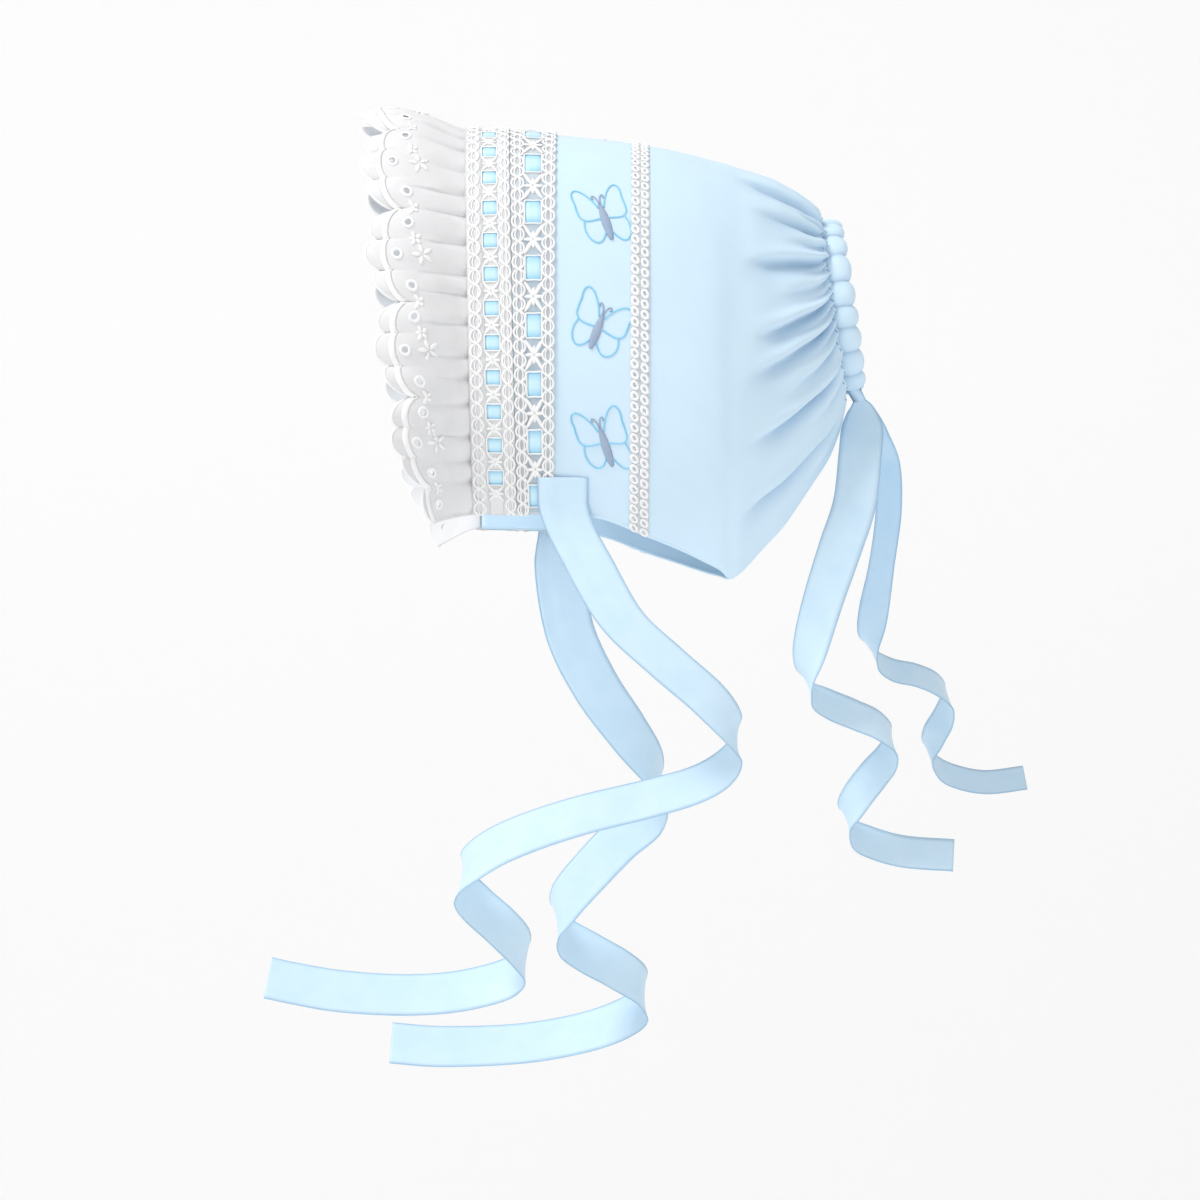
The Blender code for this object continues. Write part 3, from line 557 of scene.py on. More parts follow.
# worn cloth of the crown: the plain arch plus soft waves that start behind the sewn front edge, less the gathers
def clothSpot(s, t):
    out = crownOut(s, t)
    fade = np.clip((t - crownShape["wavesFrom"]) / crownShape["wavesOver"], 0, 1)
    lift = softWaves(s, t, crownShape["waves"]) * fade - gatherDepth(s, t)
    return crownSpot(s, t) + out * lift[..., None], out


# crown: the worn cloth on a grid over the whole arch, with its two rear edges brought together at the back seam
def makeCrown():
    s = np.linspace(-1, 1, crownShape["columns"] + 1)[None, :]
    t = np.linspace(0, crownShape["ring"], crownShape["rows"] + 1)[:, None]
    s, t = np.broadcast_arrays(s, t)
    grid, _ = clothSpot(s, t)
    seam = np.clip((t[:, 0] - crownShape["neckPoint"]) / 0.6, 0, 1)
    for column, side in ((0, -1), (-1, 1)):
        grid[:, column, 0] = grid[:, column, 0] * (1 - seam) + side * crownShape["backGap"] * seam
    uv = np.stack((s * crownShape["uvHalf"], crownShape["depth"] * t / crownShape["ring"]), axis=-1)
    piece = clothPiece("crownCloth", grid, uv, crownShape["thickness"], gatheredFinish)
    # painted shade: this map darkens the cloth in each gather's fold, the deeper the fold the darker
    paintedFoldShade = np.clip(gatherDepth(s, t) / crownShape["hollowDepth"], 0, 1) ** 0.8
    addMap(piece, "paintedFoldShade", np.stack((paintedFoldShade, t), axis=-1))
    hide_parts("crown")


seamShape = {
    "hemAt": 0.996,
    "hemSink": 0.0002,
    "hemThread": (0.00085, 0.00055),
    "backAt": 0.999,
    "backSink": 0.0001,
    "backThread": (0.00070, 0.00040),
    "stitches": 84,
    "stitchSpan": 0.96,
    "stitchHalf": 0.0062,
    "stitchAhead": 0.55,  # rows before the casing
    "stitchLift": 0.0001,
    "stitchThread": (0.00028, 0.00026),
}


# cords along lines of the worn cloth: the neck edge's hem, the seam of the centre back, and short stitches
def makeSeams():
    shape = seamShape
    t = np.linspace(0.0, crownShape["neckPoint"], 160)[None, :]
    for name, side in (("neckHemLeft", 1.0), ("neckHemRight", -1.0)):
        spot, out = clothSpot(np.full_like(t, side * shape["hemAt"]), t)
        paths = spot - out * shape["hemSink"]
        cordPiece(name, paths, out, *shape["hemThread"], cottonFinish, "blue_cotton", False, 10)
    t = np.linspace(crownShape["neckPoint"] + 0.1, crownShape["ring"] - 0.2, 120)[None, :]
    left, leftOut = clothSpot(np.full_like(t, shape["backAt"]), t)
    right, rightOut = clothSpot(np.full_like(t, -shape["backAt"]), t)
    out = leftOut + rightOut
    out /= np.linalg.norm(out, axis=-1, keepdims=True)
    paths = (left + right) / 2 - out * shape["backSink"]
    cordPiece("backSeam", paths, out, *shape["backThread"], cottonFinish, "blue_cotton", False, 10)
    s = ((np.arange(shape["stitches"]) + 0.5) / shape["stitches"] * 2 - 1) * shape["stitchSpan"]
    s = s[:, None] + np.linspace(-shape["stitchHalf"], shape["stitchHalf"], 6)[None, :]
    spot, out = clothSpot(s, crownShape["ring"] - shape["stitchAhead"] + 0 * s)
    paths = spot + out * shape["stitchLift"]
    cordPiece("casingStitches", paths, out, *shape["stitchThread"], seamFinish, "blue_cotton", False, 6, True)


casingShape = {
    "top": (0.0880, -0.0325),
    "low": (0.0970, -0.0940),
    "halfWidth": 0.0243,
    "axial": 0.0048,  # half sizes of the profile, along the head and outward
    "radial": 0.0030,
    "mouth": 0.16,  # half of the opening at the bottom, in radians
    "puffs": np.array([0.0, 0.105, 0.225, 0.335, 0.455, 0.555, 0.640, 0.745, 0.870, 1.0]),
    "swell": 0.50,
    "sharp": 0.45,
    "even": 0.66,  # share of the swell at which the profile has its own size
    "steps": 481,
    "sides": 32,
    "wall": 0.0007,
    "uvRadius": 0.0035,
    "uvRing": 0.028,
}


# casing: an oval profile carried round an oval ring that stays open at the bottom by its mouth; the profile
# grows in each puff by the sine of the place in the puff, raised to a power that squares it off
def makeCasing():
    shape = casingShape
    top, low = np.array(shape["top"]), np.array(shape["low"])
    centre, down = (top + low) / 2, (low - top) / 2
    halfHeight = np.linalg.norm(down)
    down = down / halfHeight
    back = np.array((0.0, abs(down[1]), down[0] if down[1] < 0 else -down[0]))
    turn = math.pi - shape["mouth"]
    angle = np.linspace(-turn, turn, shape["steps"])
    place = np.abs(angle) / turn
    which = np.clip(np.searchsorted(shape["puffs"], place, side="right") - 1, 0, len(shape["puffs"]) - 2)
    inPuff = (place - shape["puffs"][which]) / (shape["puffs"][which + 1] - shape["puffs"][which])
    swell = np.abs(np.sin(math.pi * inPuff)) ** shape["sharp"]
    ring = np.stack((
        shape["halfWidth"] * np.sin(angle),
        centre[0] - down[0] * halfHeight * np.cos(angle),
        centre[1] - down[1] * halfHeight * np.cos(angle),
    ), axis=1)
    out = np.stack((
        np.sin(angle) * halfHeight,
        -down[0] * np.cos(angle) * shape["halfWidth"],
        -down[1] * np.cos(angle) * shape["halfWidth"],
    ), axis=1)
    out /= np.linalg.norm(out, axis=1, keepdims=True)
    around = np.linspace(0, 2 * math.pi, shape["sides"] + 1)[:-1]
    size = 1 + shape["swell"] * (swell - shape["even"])
    reachOut = shape["radial"] * size[:, None]
    reachBack = shape["axial"] * size[:, None]
    grid = (
        ring[:, None]
        + out[:, None] * (reachOut * np.sin(around)[None])[..., None]
        + back[None, None] * (reachBack * np.cos(around)[None])[..., None]
    )
    flatAround, flatAlong = around[None, :] * shape["uvRadius"], angle[:, None] * shape["uvRing"]
    uv = np.stack(np.broadcast_arrays(flatAround, flatAlong), axis=-1)
    piece = clothPiece("casingCloth", grid, uv, shape["wall"], gatheredFinish, wrapped=True)
    # painted shade: this map darkens the cloth in the tight gathers between the puffs
    paintedFoldShade = np.broadcast_to((1 - np.clip(swell, 0, 1))[:, None] ** 1.5, grid.shape[:2])
    addMap(piece, "paintedFoldShade", np.stack((paintedFoldShade, paintedFoldShade), axis=-1))
    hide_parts("drawstring_casing")
    return ring, back


ruffleShape = {
    "lobes": 32,
    "topLength": 0.0435,
    "endLength": 0.0345,
    "topFlare": 20.0,  # degrees outward, at the top and at the two ends
    "endFlare": 52.0,
    "turn": 0.18,  # share of the length over which it bends out
    "curl": 0.75,
    "droop": -0.10,
    "wave": 0.0004,
    "lobeDip": 0.11,  # how far the edge falls back at the end of a lobe and of a group
    "groupDip": 0.24,
    "thickness": 0.0004,
    "lineAt": 0.86,
    "eyeletAt": 0.62,
    "eyeletFar": 0.10,  # added for the middle lobe of a group
    "eyeletRadius": 0.0012,
    "foldsPerLobe": 1.13,
    "foldDepth": 0.0022,
    "foldReach": 0.62,
    "foldWidth": 0.30,
    "foldStart": 0.05,
    "endSink": 0.0035,
    "endFrom": 0.88,
    "rows": 44,
    "stepsPerLobe": 28,
    "uvStep": (0.0125, 0.045),
    "threadLift": 0.0001,
    "ringOutside": 0.00055,
    "lineDip": 0.03,
    # half width and rise of each kind of stitching
    "eyeletThread": (0.00060, 0.00038),
    "edgeThread": (0.00050, 0.00042),
    "lineThread": (0.00135, 0.00034),
    "petalThread": (0.00085, 0.00028),
    # flowers: share of the length, first lobe, place in the lobe and length of a petal
    "petalFrom": 0.12,
    "petalLift": 0.00012,
    "flowers": ((0.48, 2, 0.0, 0.0046), (0.60, 0, 0.5, 0.0030), (0.56, 1, 0.5, 0.0030)),
}

eyeletFinish = makeFinish("white eyelet cotton", "eyelet", holeRadius=ruffleShape["eyeletRadius"], through=0.1)


# ruffle: from the front edge it runs ahead along the cloth and bends outward by its flare, its length falls
# at the ends of each lobe and each group of three, and pressed folds run from the sewn edge a part of the way
def ruffleSpot(u, r):
    u, r = np.broadcast_arrays(np.asarray(u, float), np.asarray(r, float))
    shape = ruffleShape
    s = 2 * u / shape["lobes"] - 1
    start = sectionAt(crownShape["sections"][0, 0] - 0.002)
    base = crownSpot(s, start)
    ahead = base - crownSpot(s, start + 0.06)
    ahead /= np.linalg.norm(ahead, axis=-1, keepdims=True)
    out = crownOut(s, start + 0.2)
    out = out - ahead * (out * ahead).sum(axis=-1, keepdims=True)
    out[..., 2] = np.maximum(out[..., 2], shape["droop"])
    out /= np.linalg.norm(out, axis=-1, keepdims=True)
    side = np.abs(s)
    length = shape["topLength"] + (shape["endLength"] - shape["topLength"]) * side**1.5
    flare = np.radians(shape["topFlare"] + (shape["endFlare"] - shape["topFlare"]) * side**1.3)
    lobe = u % 1.0
    lobeRound = np.sqrt(np.clip(1 - (2 * lobe - 1) ** 2, 0, 1))
    group = ((u - 1) / 3.0) % 1.0
    atEnds = (u < 1) | (u > shape["lobes"] - 1)
    groupRound = np.where(atEnds, 0.15, np.sin(math.pi * np.clip(group, 0, 1)) ** 0.6)
    scallop = 1 - shape["lobeDip"] * (1 - lobeRound) - shape["groupDip"] * (1 - groupRound)
    reach = r * length * (1 - r**2 * (1 - scallop))
    bend = flare * (1 - np.exp(-r / shape["turn"])) * (1 - shape["curl"] * np.clip(1 - side**1.5, 0, 1) * r**2)
    wave = -np.cos(2 * math.pi * lobe) * shape["wave"] * r**0.8
    foldPlace = u * shape["foldsPerLobe"] + 0.10 * np.sin(u * 2.3) + 0.07 * np.sin(u * 5.1 + 1.0)
    nearFold = np.abs((foldPlace % 1.0) - 0.5) * 2
    foldLength = shape["foldReach"] * (0.75 + 0.25 * np.sin(np.floor(foldPlace) * 2.4 + 0.5))
    groove = np.exp(-((1 - nearFold) / shape["foldWidth"]) ** 1.4) * np.clip(1 - r / foldLength, 0, 1) ** 0.8
    fold = -shape["foldDepth"] * groove * np.minimum(1, r / shape["foldStart"])
    lift = reach * np.sin(bend) + wave + fold
    spot = base + ahead * (reach * np.cos(bend))[..., None] + out * lift[..., None]
    nearEnd = np.clip((side - shape["endFrom"]) / (1 - shape["endFrom"]), 0, 1)
    spot[..., 2] -= shape["endSink"] * nearEnd**2 * r**0.8
    return spot


# outer side of the ruffle: the cross product of its two slopes
def ruffleOut(u, r):
    u, r = np.broadcast_arrays(np.asarray(u, float), np.asarray(r, float))
    du, dr, lobes = 0.06, 0.03, ruffleShape["lobes"]
    across = ruffleSpot(np.clip(u + du, 0, lobes), r) - ruffleSpot(np.clip(u - du, 0, lobes), r)
    along = ruffleSpot(u, np.minimum(r + dr, 1)) - ruffleSpot(u, np.maximum(r - dr, 0))
    out = np.cross(along, across)
    return out / np.maximum(np.linalg.norm(out, axis=-1, keepdims=True), 1e-12)


# share of the ruffle's length at which a lobe's eyelet lies: further out in the middle lobe of a group
def eyeletRow(number):
    return ruffleShape["eyeletAt"] + ruffleShape["eyeletFar"] * (np.floor(number) % 3 == 2)


# ruffle cloth: the grid of its spots, and a map of the distance of each spot from its lobe's eyelet
def makeRuffle():
    shape = ruffleShape
    lobes = shape["lobes"]
    u = np.linspace(0, lobes, lobes * shape["stepsPerLobe"] + 1)[None, :]
    r = np.linspace(0, 1, shape["rows"] + 1)[::-1][:, None]
    u, r = np.broadcast_arrays(u, r)
    grid = ruffleSpot(u, r)
    uv = np.stack((u * shape["uvStep"][0], r * shape["uvStep"][1]), axis=-1)
    piece = clothPiece("ruffleCloth", grid, uv, shape["thickness"], eyeletFinish)
    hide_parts("front_ruffle")
    middle = np.floor(np.minimum(u, lobes - 1e-6)) + 0.5
    centre = ruffleSpot(middle, eyeletRow(middle))
    step = grid - centre
    along = ruffleSpot(middle, eyeletRow(middle) + 0.02) - centre
    along /= np.linalg.norm(along, axis=-1, keepdims=True)
    far = (step * along).sum(axis=-1)
    wide = np.sqrt(np.clip((step**2).sum(axis=-1) - far**2, 0, None))
    addMap(piece, "lobe", np.stack((wide, far), axis=-1))


# the lobes' numbers, the row of each eyelet, and how much of u and of r one metre of cloth takes there
def eyeletScale():
    du, dr = 0.05, 0.02
    number = np.arange(ruffleShape["lobes"])[:, None] + 0.5
    row = eyeletRow(number)
    perU = 2 * du / np.linalg.norm(ruffleSpot(number + du, row) - ruffleSpot(number - du, row), axis=-1)
    perR = 2 * dr / np.linalg.norm(ruffleSpot(number, row + dr) - ruffleSpot(number, row - dr), axis=-1)
    return number, row, perU, perR


# ring of satin stitch round each eyelet: a circle in u and r, scaled to the cloth
def makeEyeletStitches():
    shape = ruffleShape
    number, row, perU, perR = eyeletScale()
    angle = np.linspace(0, 2 * math.pi, 33)[None, :-1]
    radius = shape["eyeletRadius"] + shape["ringOutside"]
    u = number + np.cos(angle) * radius * perU
    r = row + np.sin(angle) * radius * perR
    out = ruffleOut(u, r)
    paths = ruffleSpot(u, r) + out * shape["threadLift"]
    cordPiece("eyeletStitching", paths, out, *shape["eyeletThread"], laceFinish, "white_lace", True, 8)


# two cords that follow the scallops: a thin one on the cut edge and a broad one inside it
def makeScallopStitches():
    shape = ruffleShape
    u = np.linspace(0.02, shape["lobes"] - 0.02, 1600)[None, :]
    line = shape["lineAt"] + 0.015 - shape["lineDip"] * np.sin(math.pi * (u % 1.0)) ** 0.5
    for name, row, lift, thread, sides in (
        ("scallopEdgeStitching", 0.999, 0.0, shape["edgeThread"], 8),
        ("scallopLineStitching", line, shape["threadLift"], shape["lineThread"], 6),
    ):
        out = ruffleOut(u, row)
        cordPiece(name, ruffleSpot(u, row) + out * lift, out, *thread, laceFinish, "white_lace", False, sides)


# flowers: five short cords from each centre, widest in the middle of a petal
def makeRuffleFlowers():
    shape = ruffleShape
    number, _, perU, perR = eyeletScale()
    petal = (np.arange(5) * 2 * math.pi / 5 + math.pi / 2)[None, :, None]
    share = np.linspace(shape["petalFrom"], 1.0, 12)
    spots, outs = [], []
    for at, first, offset, reach in shape["flowers"]:
        around = number[first::3, 0] + offset
        around = around[around < shape["lobes"] - 0.4]
        perUNow = np.interp(around, number[:, 0], perU[:, 0])[:, None, None]
        perRNow = np.interp(around, number[:, 0], perR[:, 0])[:, None, None]
        u = (around[:, None, None] + np.cos(petal) * share * reach * perUNow).reshape(-1, 12)
        r = (at + np.sin(petal) * share * reach * perRNow).reshape(-1, 12)
        outs.append(ruffleOut(u, r))
        spots.append(ruffleSpot(u, r) + outs[-1] * shape["petalLift"])
    width, rise = shape["petalThread"]
    half = width * np.sin(np.linspace(0.25, math.pi - 0.1, 12))[None] + 0.0001
    paths, outs = np.concatenate(spots), np.concatenate(outs)
    cordPiece("ruffleFlowers", paths, outs, half, rise, laceFinish, "white_lace", False, 6, True)


makeCrown()
makeSeams()
casingRing, casingBack = makeCasing()
print("stage: crown and casing")
makeRuffle()
makeEyeletStitches()
makeScallopStitches()
makeRuffleFlowers()
print("stage: ruffle")


# spot on a band of the crown: arc place s, share of the depth, and its lift off the cloth
def bandSpot(s, at, lift):
    s, at, lift = np.broadcast_arrays(np.asarray(s, float), np.asarray(at, float), np.asarray(lift, float))
    t = sectionAt(at)
    out = crownOut(s, t)
    return crownSpot(s, t) + out * lift[..., None], out


# flat place on a band: the way round the arch and along the depth, in metres
def bandUv(s, at):
    return np.stack((s * crownShape["uvHalf"], at * crownShape["depth"]), axis=-1)


# grid of a strip round the arch between two shares of the depth, its lift a number or a function of place
def bandGrid(edges, lift, rows, columns):
    s = np.linspace(-1, 1, columns)[None, :]
    at = np.linspace(edges[0], edges[1], rows)[:, None]
    s, at = np.broadcast_arrays(s, at)
    grid, _ = bandSpot(s, at, lift(s, at) if callable(lift) else lift)
    return grid, bandUv(s, at), s, at


# what both beading laces share: thicknesses of cloth, lifts off the crown, and the fineness of their grids
laceShape = {
    "ground": 0.00022,
    "groundLift": 0.00075,
    "chainLift": 0.0010,
    "chainOver": 0.00012,
    "stitchLift": 0.00095,
    "ribbon": 0.00018,
    "ribbonLow": 0.00025,
    "ribbonHigh": 0.00105,
    "ribbonRidge": 0.00004,
    "ribbonRidges": 9,
    "stepsPerLoop": 12,
    "columns": 401,
}


# chain of oval loops: two cords that swing to opposite sides and cross between the loops
def loopChain(name, middle, swing, loops, half, rise, bow, phase):
    s = np.linspace(-1, 1, loops * laceShape["stepsPerLoop"] + 1)
    turn = math.pi * (loops * (s + 1) / 2 + phase)
    wave = np.sign(np.sin(turn)) * np.abs(np.sin(turn)) ** bow
    offset = np.stack((wave, -wave)) * swing
    over = laceShape["chainOver"] * np.stack((np.cos(turn), -np.cos(turn)))
    paths, outs = bandSpot(s[None], middle + offset / crownShape["depth"], laceShape["chainLift"] + over)
    cordPiece(name, paths, outs, half, rise, laceFinish, "white_lace", False, 5)


# closed frames round the windows: a rounded square path with its two short ends bowed inward
def windowFrames(name, band, half, rise):
    centre = band["first"] + np.arange(band["windows"]) * band["step"]
    middle = sum(band["window"]) / 2
    halfAt = (band["window"][1] - band["window"][0]) / 2 + half / crownShape["depth"]
    halfS = band["share"] * band["step"] / 2 + half / crownShape["edgeHalf"]
    angle = np.linspace(0, 2 * math.pi, 41)[None, :-1]
    across = np.sign(np.cos(angle)) * np.abs(np.cos(angle)) ** 0.22
    along = np.sign(np.sin(angle)) * np.abs(np.sin(angle)) ** 0.22
    along = along * (1 - 0.07 * (1 - across**2))
    paths, outs = bandSpot(centre[:, None] + along * halfS, middle + across * halfAt, laceShape["stitchLift"])
    cordPiece(name, paths, outs, half, rise, laceFinish, "white_lace", True, 6)


# stars of eight pointed petals in the bridges between the windows
def bridgeStars(name, band, reachAt, half, rise):
    centre = band["first"] + (np.arange(band["windows"] + 1) - 0.5) * band["step"]
    centre = centre[(centre > -0.97) & (centre < 0.985)]
    middle = sum(band["window"]) / 2
    reachS = (1 - band["share"]) * band["step"] / 2 * 0.90
    ray = np.arange(8) * math.pi / 4
    along, across = np.cos(ray), np.sin(ray)
    square = np.maximum(np.abs(along), np.abs(across))
    along, across = along / square, across / square
    along = np.where(np.abs(across) < 0.01, along * 0.60, along)
    share = np.linspace(0.06, 1, 10)
    s = centre[:, None, None] + along[None, :, None] * share * reachS
    at = middle + across[None, :, None] * share * reachAt + 0 * s
    s, at = s.reshape(-1, 10), at.reshape(-1, 10)
    width = half * (0.35 + 0.65 * np.sin(np.linspace(0.35, math.pi, 10)) ** 0.8)
    paths, outs = bandSpot(s, at, laceShape["stitchLift"])
    cordPiece(name, paths, outs, width[None], rise, laceFinish, "white_lace", False, 6)


# ribbon threaded through the windows: high in each window, low under each bridge, with fine lengthwise ridges
def beadingRibbon(name, band, node):
    count, step = band["windows"], band["step"]
    low, high = laceShape["ribbonLow"], laceShape["ribbonHigh"]
    middle = sum(band["window"]) / 2
    reach = band["ribbon"] / 2 / crownShape["depth"]

    # distance from the middle of the nearest window, in steps, and that window's number
    def fromWindow(s):
        number = np.clip(np.round((s - band["first"]) / step), 0, count - 1)
        return np.abs(s - band["first"] - number * step) / step, number

    # lift off the crown: low plus a steep rise in each window that falls off at the window's two long sides
    def lift(s, at):
        away, number = fromWindow(s)
        inside = np.clip(1 - away / (band["share"] / 2 + 0.03), 0, 1)
        across = (at - band["window"][0]) / (band["window"][1] - band["window"][0])
        within = np.clip(3.0 * (1 - np.abs(2 * across - 1)) + 0.15, 0, 1)
        ridges = laceShape["ribbonRidge"] * np.sin(across * laceShape["ribbonRidges"] * math.pi + 1.3 * number)
        rise = np.minimum(1, 2.6 * inside) ** 0.7 * within
        return low + (high - low) * rise + ridges * np.minimum(1, 2 * inside)

    edges = (middle - reach, middle + reach)
    grid, uv, s, at = bandGrid(edges, lift, 14, round(2 / step) * 26 + 1)
    piece = clothPiece(name, grid, uv, laceShape["ribbon"], beadingFinish)
    # painted light and shade: the map is high in the middle of each window, where the ribbon takes the light
    # colour, and falls towards the window's ends, where it takes the painted shade of passing under the bridges
    place = fromWindow(s)[0] / (band["share"] / 2)
    addMap(piece, "windowLightShade", np.stack((np.clip(1.15 - place, 0, 1) ** 0.8, at), axis=-1))
    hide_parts(node)


# ground of a beading lace: a strip along each side of the windows and a bridge between each two
def laceGround(name, band, node, material):
    lift, columns = laceShape["groundLift"], laceShape["columns"]
    front, frontUv, _, _ = bandGrid((band["edges"][0], band["window"][0]), lift, 6, columns)
    rear, rearUv, _, _ = bandGrid((band["window"][1], band["edges"][1]), lift, 6, columns)
    count, step = band["windows"], band["step"]
    ends = band["first"] + (np.arange(count)[:, None] + np.array((-0.5, 0.5)) * band["share"]) * step
    ends = np.concatenate(((-1.0,), ends.reshape(-1), (1.0,))).reshape(-1, 2)
    s = ends[:, 0, None, None] + (ends[:, 1] - ends[:, 0])[:, None, None] * np.linspace(0, 1, 9)[None, None, :]
    at = np.linspace(band["window"][0], band["window"][1], 7)[None, :, None]
    s, at = np.broadcast_arrays(s, at)
    bridges, _ = bandSpot(s, at, lift)
    parts, before = [], 0
    for grid, uv in ((front, frontUv), (rear, rearUv), (bridges, bandUv(s, at))):
        points, quads, flat = clothArrays(grid, uv, laceShape["ground"])
        parts.append((points, quads + before, flat))
        before += len(points)
    points, quads, flat = (np.concatenate(column) for column in zip(*parts))
    piece = buildPiece(name, points, quads, flat, material)
    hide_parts(node)


# edges and window are shares of the depth; first, step and share place the windows round the arch
frontBeading = {
    "edges": (-0.344, -0.232),
    "window": (-0.301, -0.266),
    "windows": 28,
    "first": -0.947,
    "step": 0.0690,
    "share": 0.44,
    "ribbon": 0.0101,
    "loops": 67,
    # side of the windows, shift, swing, half width and rise of the cord, bow of the loops, phase
    "chains": {
        "OuterChain": (0, -0.002, 0.0021, 0.00050, 0.00040, 0.62, 0.0),
        "InnerChain": (0, 0.000, 0.0010, 0.00030, 0.00026, 0.80, 0.0),
        "RearChain": (1, 0.002, 0.0019, 0.00050, 0.00040, 0.62, 0.3),
        "RearInnerChain": (1, 0.001, 0.0009, 0.00030, 0.00026, 0.80, 0.3),
    },
    "frame": (0.00032, 0.00030),
    "star": (0.019, 0.00062, 0.00032),
}
secondBeading = {
    "edges": (-0.230, -0.112),
    "window": (-0.192, -0.150),
    "windows": 17,
    "first": -0.905,
    "step": 0.1163,
    "share": 0.42,
    "ribbon": 0.0101,
    "loops": 71,
    "chains": {
        "OuterChain": (0, -0.001, 0.0024, 0.00048, 0.00040, 0.62, 0.0),
        "InnerChain": (0, -0.001, 0.0012, 0.00034, 0.00030, 0.80, 0.0),
        "RearChain": (1, 0.001, 0.0024, 0.00048, 0.00040, 0.62, 0.4),
        "RearInnerChain": (1, 0.001, 0.0012, 0.00034, 0.00030, 0.80, 0.4),
    },
    "frame": (0.00034, 0.00030),
    "star": (0.026, 0.00080, 0.00030),
}


# one beading lace: the ribbon, the ground over it, two chains on each side of the windows, frames and stars
def makeBeading(prefix, band, groundMaterial):
    beadingRibbon(prefix + "BeadingRibbon", band, prefix + "_beading_ribbon")
    laceGround(prefix + "LaceGround", band, prefix + "_beading_lace", groundMaterial)
    for name, (side, shift, swing, half, rise, bow, phase) in band["chains"].items():
        middle = (band["edges"][side] + band["window"][side]) / 2 + shift
        loopChain(prefix + "Lace" + name, middle, swing, band["loops"], half, rise, bow, phase)
    windowFrames(prefix + "LaceFrames", band, *band["frame"])
    bridgeStars(prefix + "LaceStars", band, *band["star"])


narrowTrim = {
    "edges": (0.079, 0.126),
    "thickness": 0.00018,
    "lift": 0.0004,
    "rings": 96,
    "ringLift": 0.0001,
    "ringAlong": 0.66,  # shares of a ring's own place that it fills
    "ringAcross": 0.62,
    "ringThread": (0.00062, 0.00042),
}


# narrow trim: a strip of net with two rows of small raised rings, each an ellipse in its own place
def makeTrim():
    shape = narrowTrim
    low, high = shape["edges"]
    grid, uv, _, _ = bandGrid(shape["edges"], shape["lift"], 5, laceShape["columns"])
    strip = clothPiece("trimNet", grid, uv, shape["thickness"], netFinish)
    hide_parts("narrow_trim_lace")
    count = shape["rings"]
    angle = np.linspace(0, 2 * math.pi, 21)[None, :-1]
    centre = (np.arange(count) + 0.5) / count * 2 - 1
    quarter = (high - low) / 4
    for name, row in (("trimRings1", low + quarter), ("trimRings2", high - quarter)):
        s = centre[:, None] + np.sin(angle) / count * shape["ringAlong"]
        at = row + np.cos(angle) * quarter * shape["ringAcross"]
        paths, outs = bandSpot(s, at, shape["lift"] + shape["ringLift"])
        cordPiece(name, paths, outs, *shape["ringThread"], laceFinish, "white_lace", True, 6)


makeBeading("front", frontBeading, groundFinish)
makeBeading("second", secondBeading, netFinish)
makeTrim()
print("stage: laces and beading ribbons")

butterflies = {
    "at": 0.014,  # share of the depth
    "shift": (0.006, -0.016, 0.001),
    "lowest": 0.838,  # place round the side
    "pitch": 0.2290,
    "tilt": 19.0,
    "reach": 0.0116,
    "tall": 1.10,
    "lift": 0.00012,
    "wingThread": (0.00034, 0.00028),
    "feelerThread": (0.00030, 0.00026),
    "bodyHalf": 0.0017,
    "bodyRise": 0.00055,
}


# half of an embroidered butterfly: side and up as shares of its reach
upperWing = np.array([
    (0.09, 0.38), (0.21, 0.64), (0.37, 0.88), (0.53, 1.04), (0.69, 1.10),
    (0.80, 1.02), (0.83, 0.86), (0.81, 0.69), (0.82, 0.53), (0.82, 0.36),
    (0.80, 0.22), (0.70, 0.10), (0.56, 0.04), (0.35, 0.03), (0.10, 0.05),
])
lowerWing = np.array([
    (0.68, 0.08), (0.75, -0.13), (0.74, -0.36), (0.65, -0.55),
    (0.50, -0.66), (0.34, -0.64), (0.20, -0.52), (0.11, -0.38),
])
feeler = np.array([(0.03, 0.42), (0.035, 0.60), (0.09, 0.75), (0.17, 0.80), (0.20, 0.73), (0.16, 0.69)])
bodyLine = np.array([(0.0, 0.46), (0.0, 0.20), (0.0, -0.10), (0.0, -0.40), (0.0, -0.63)])


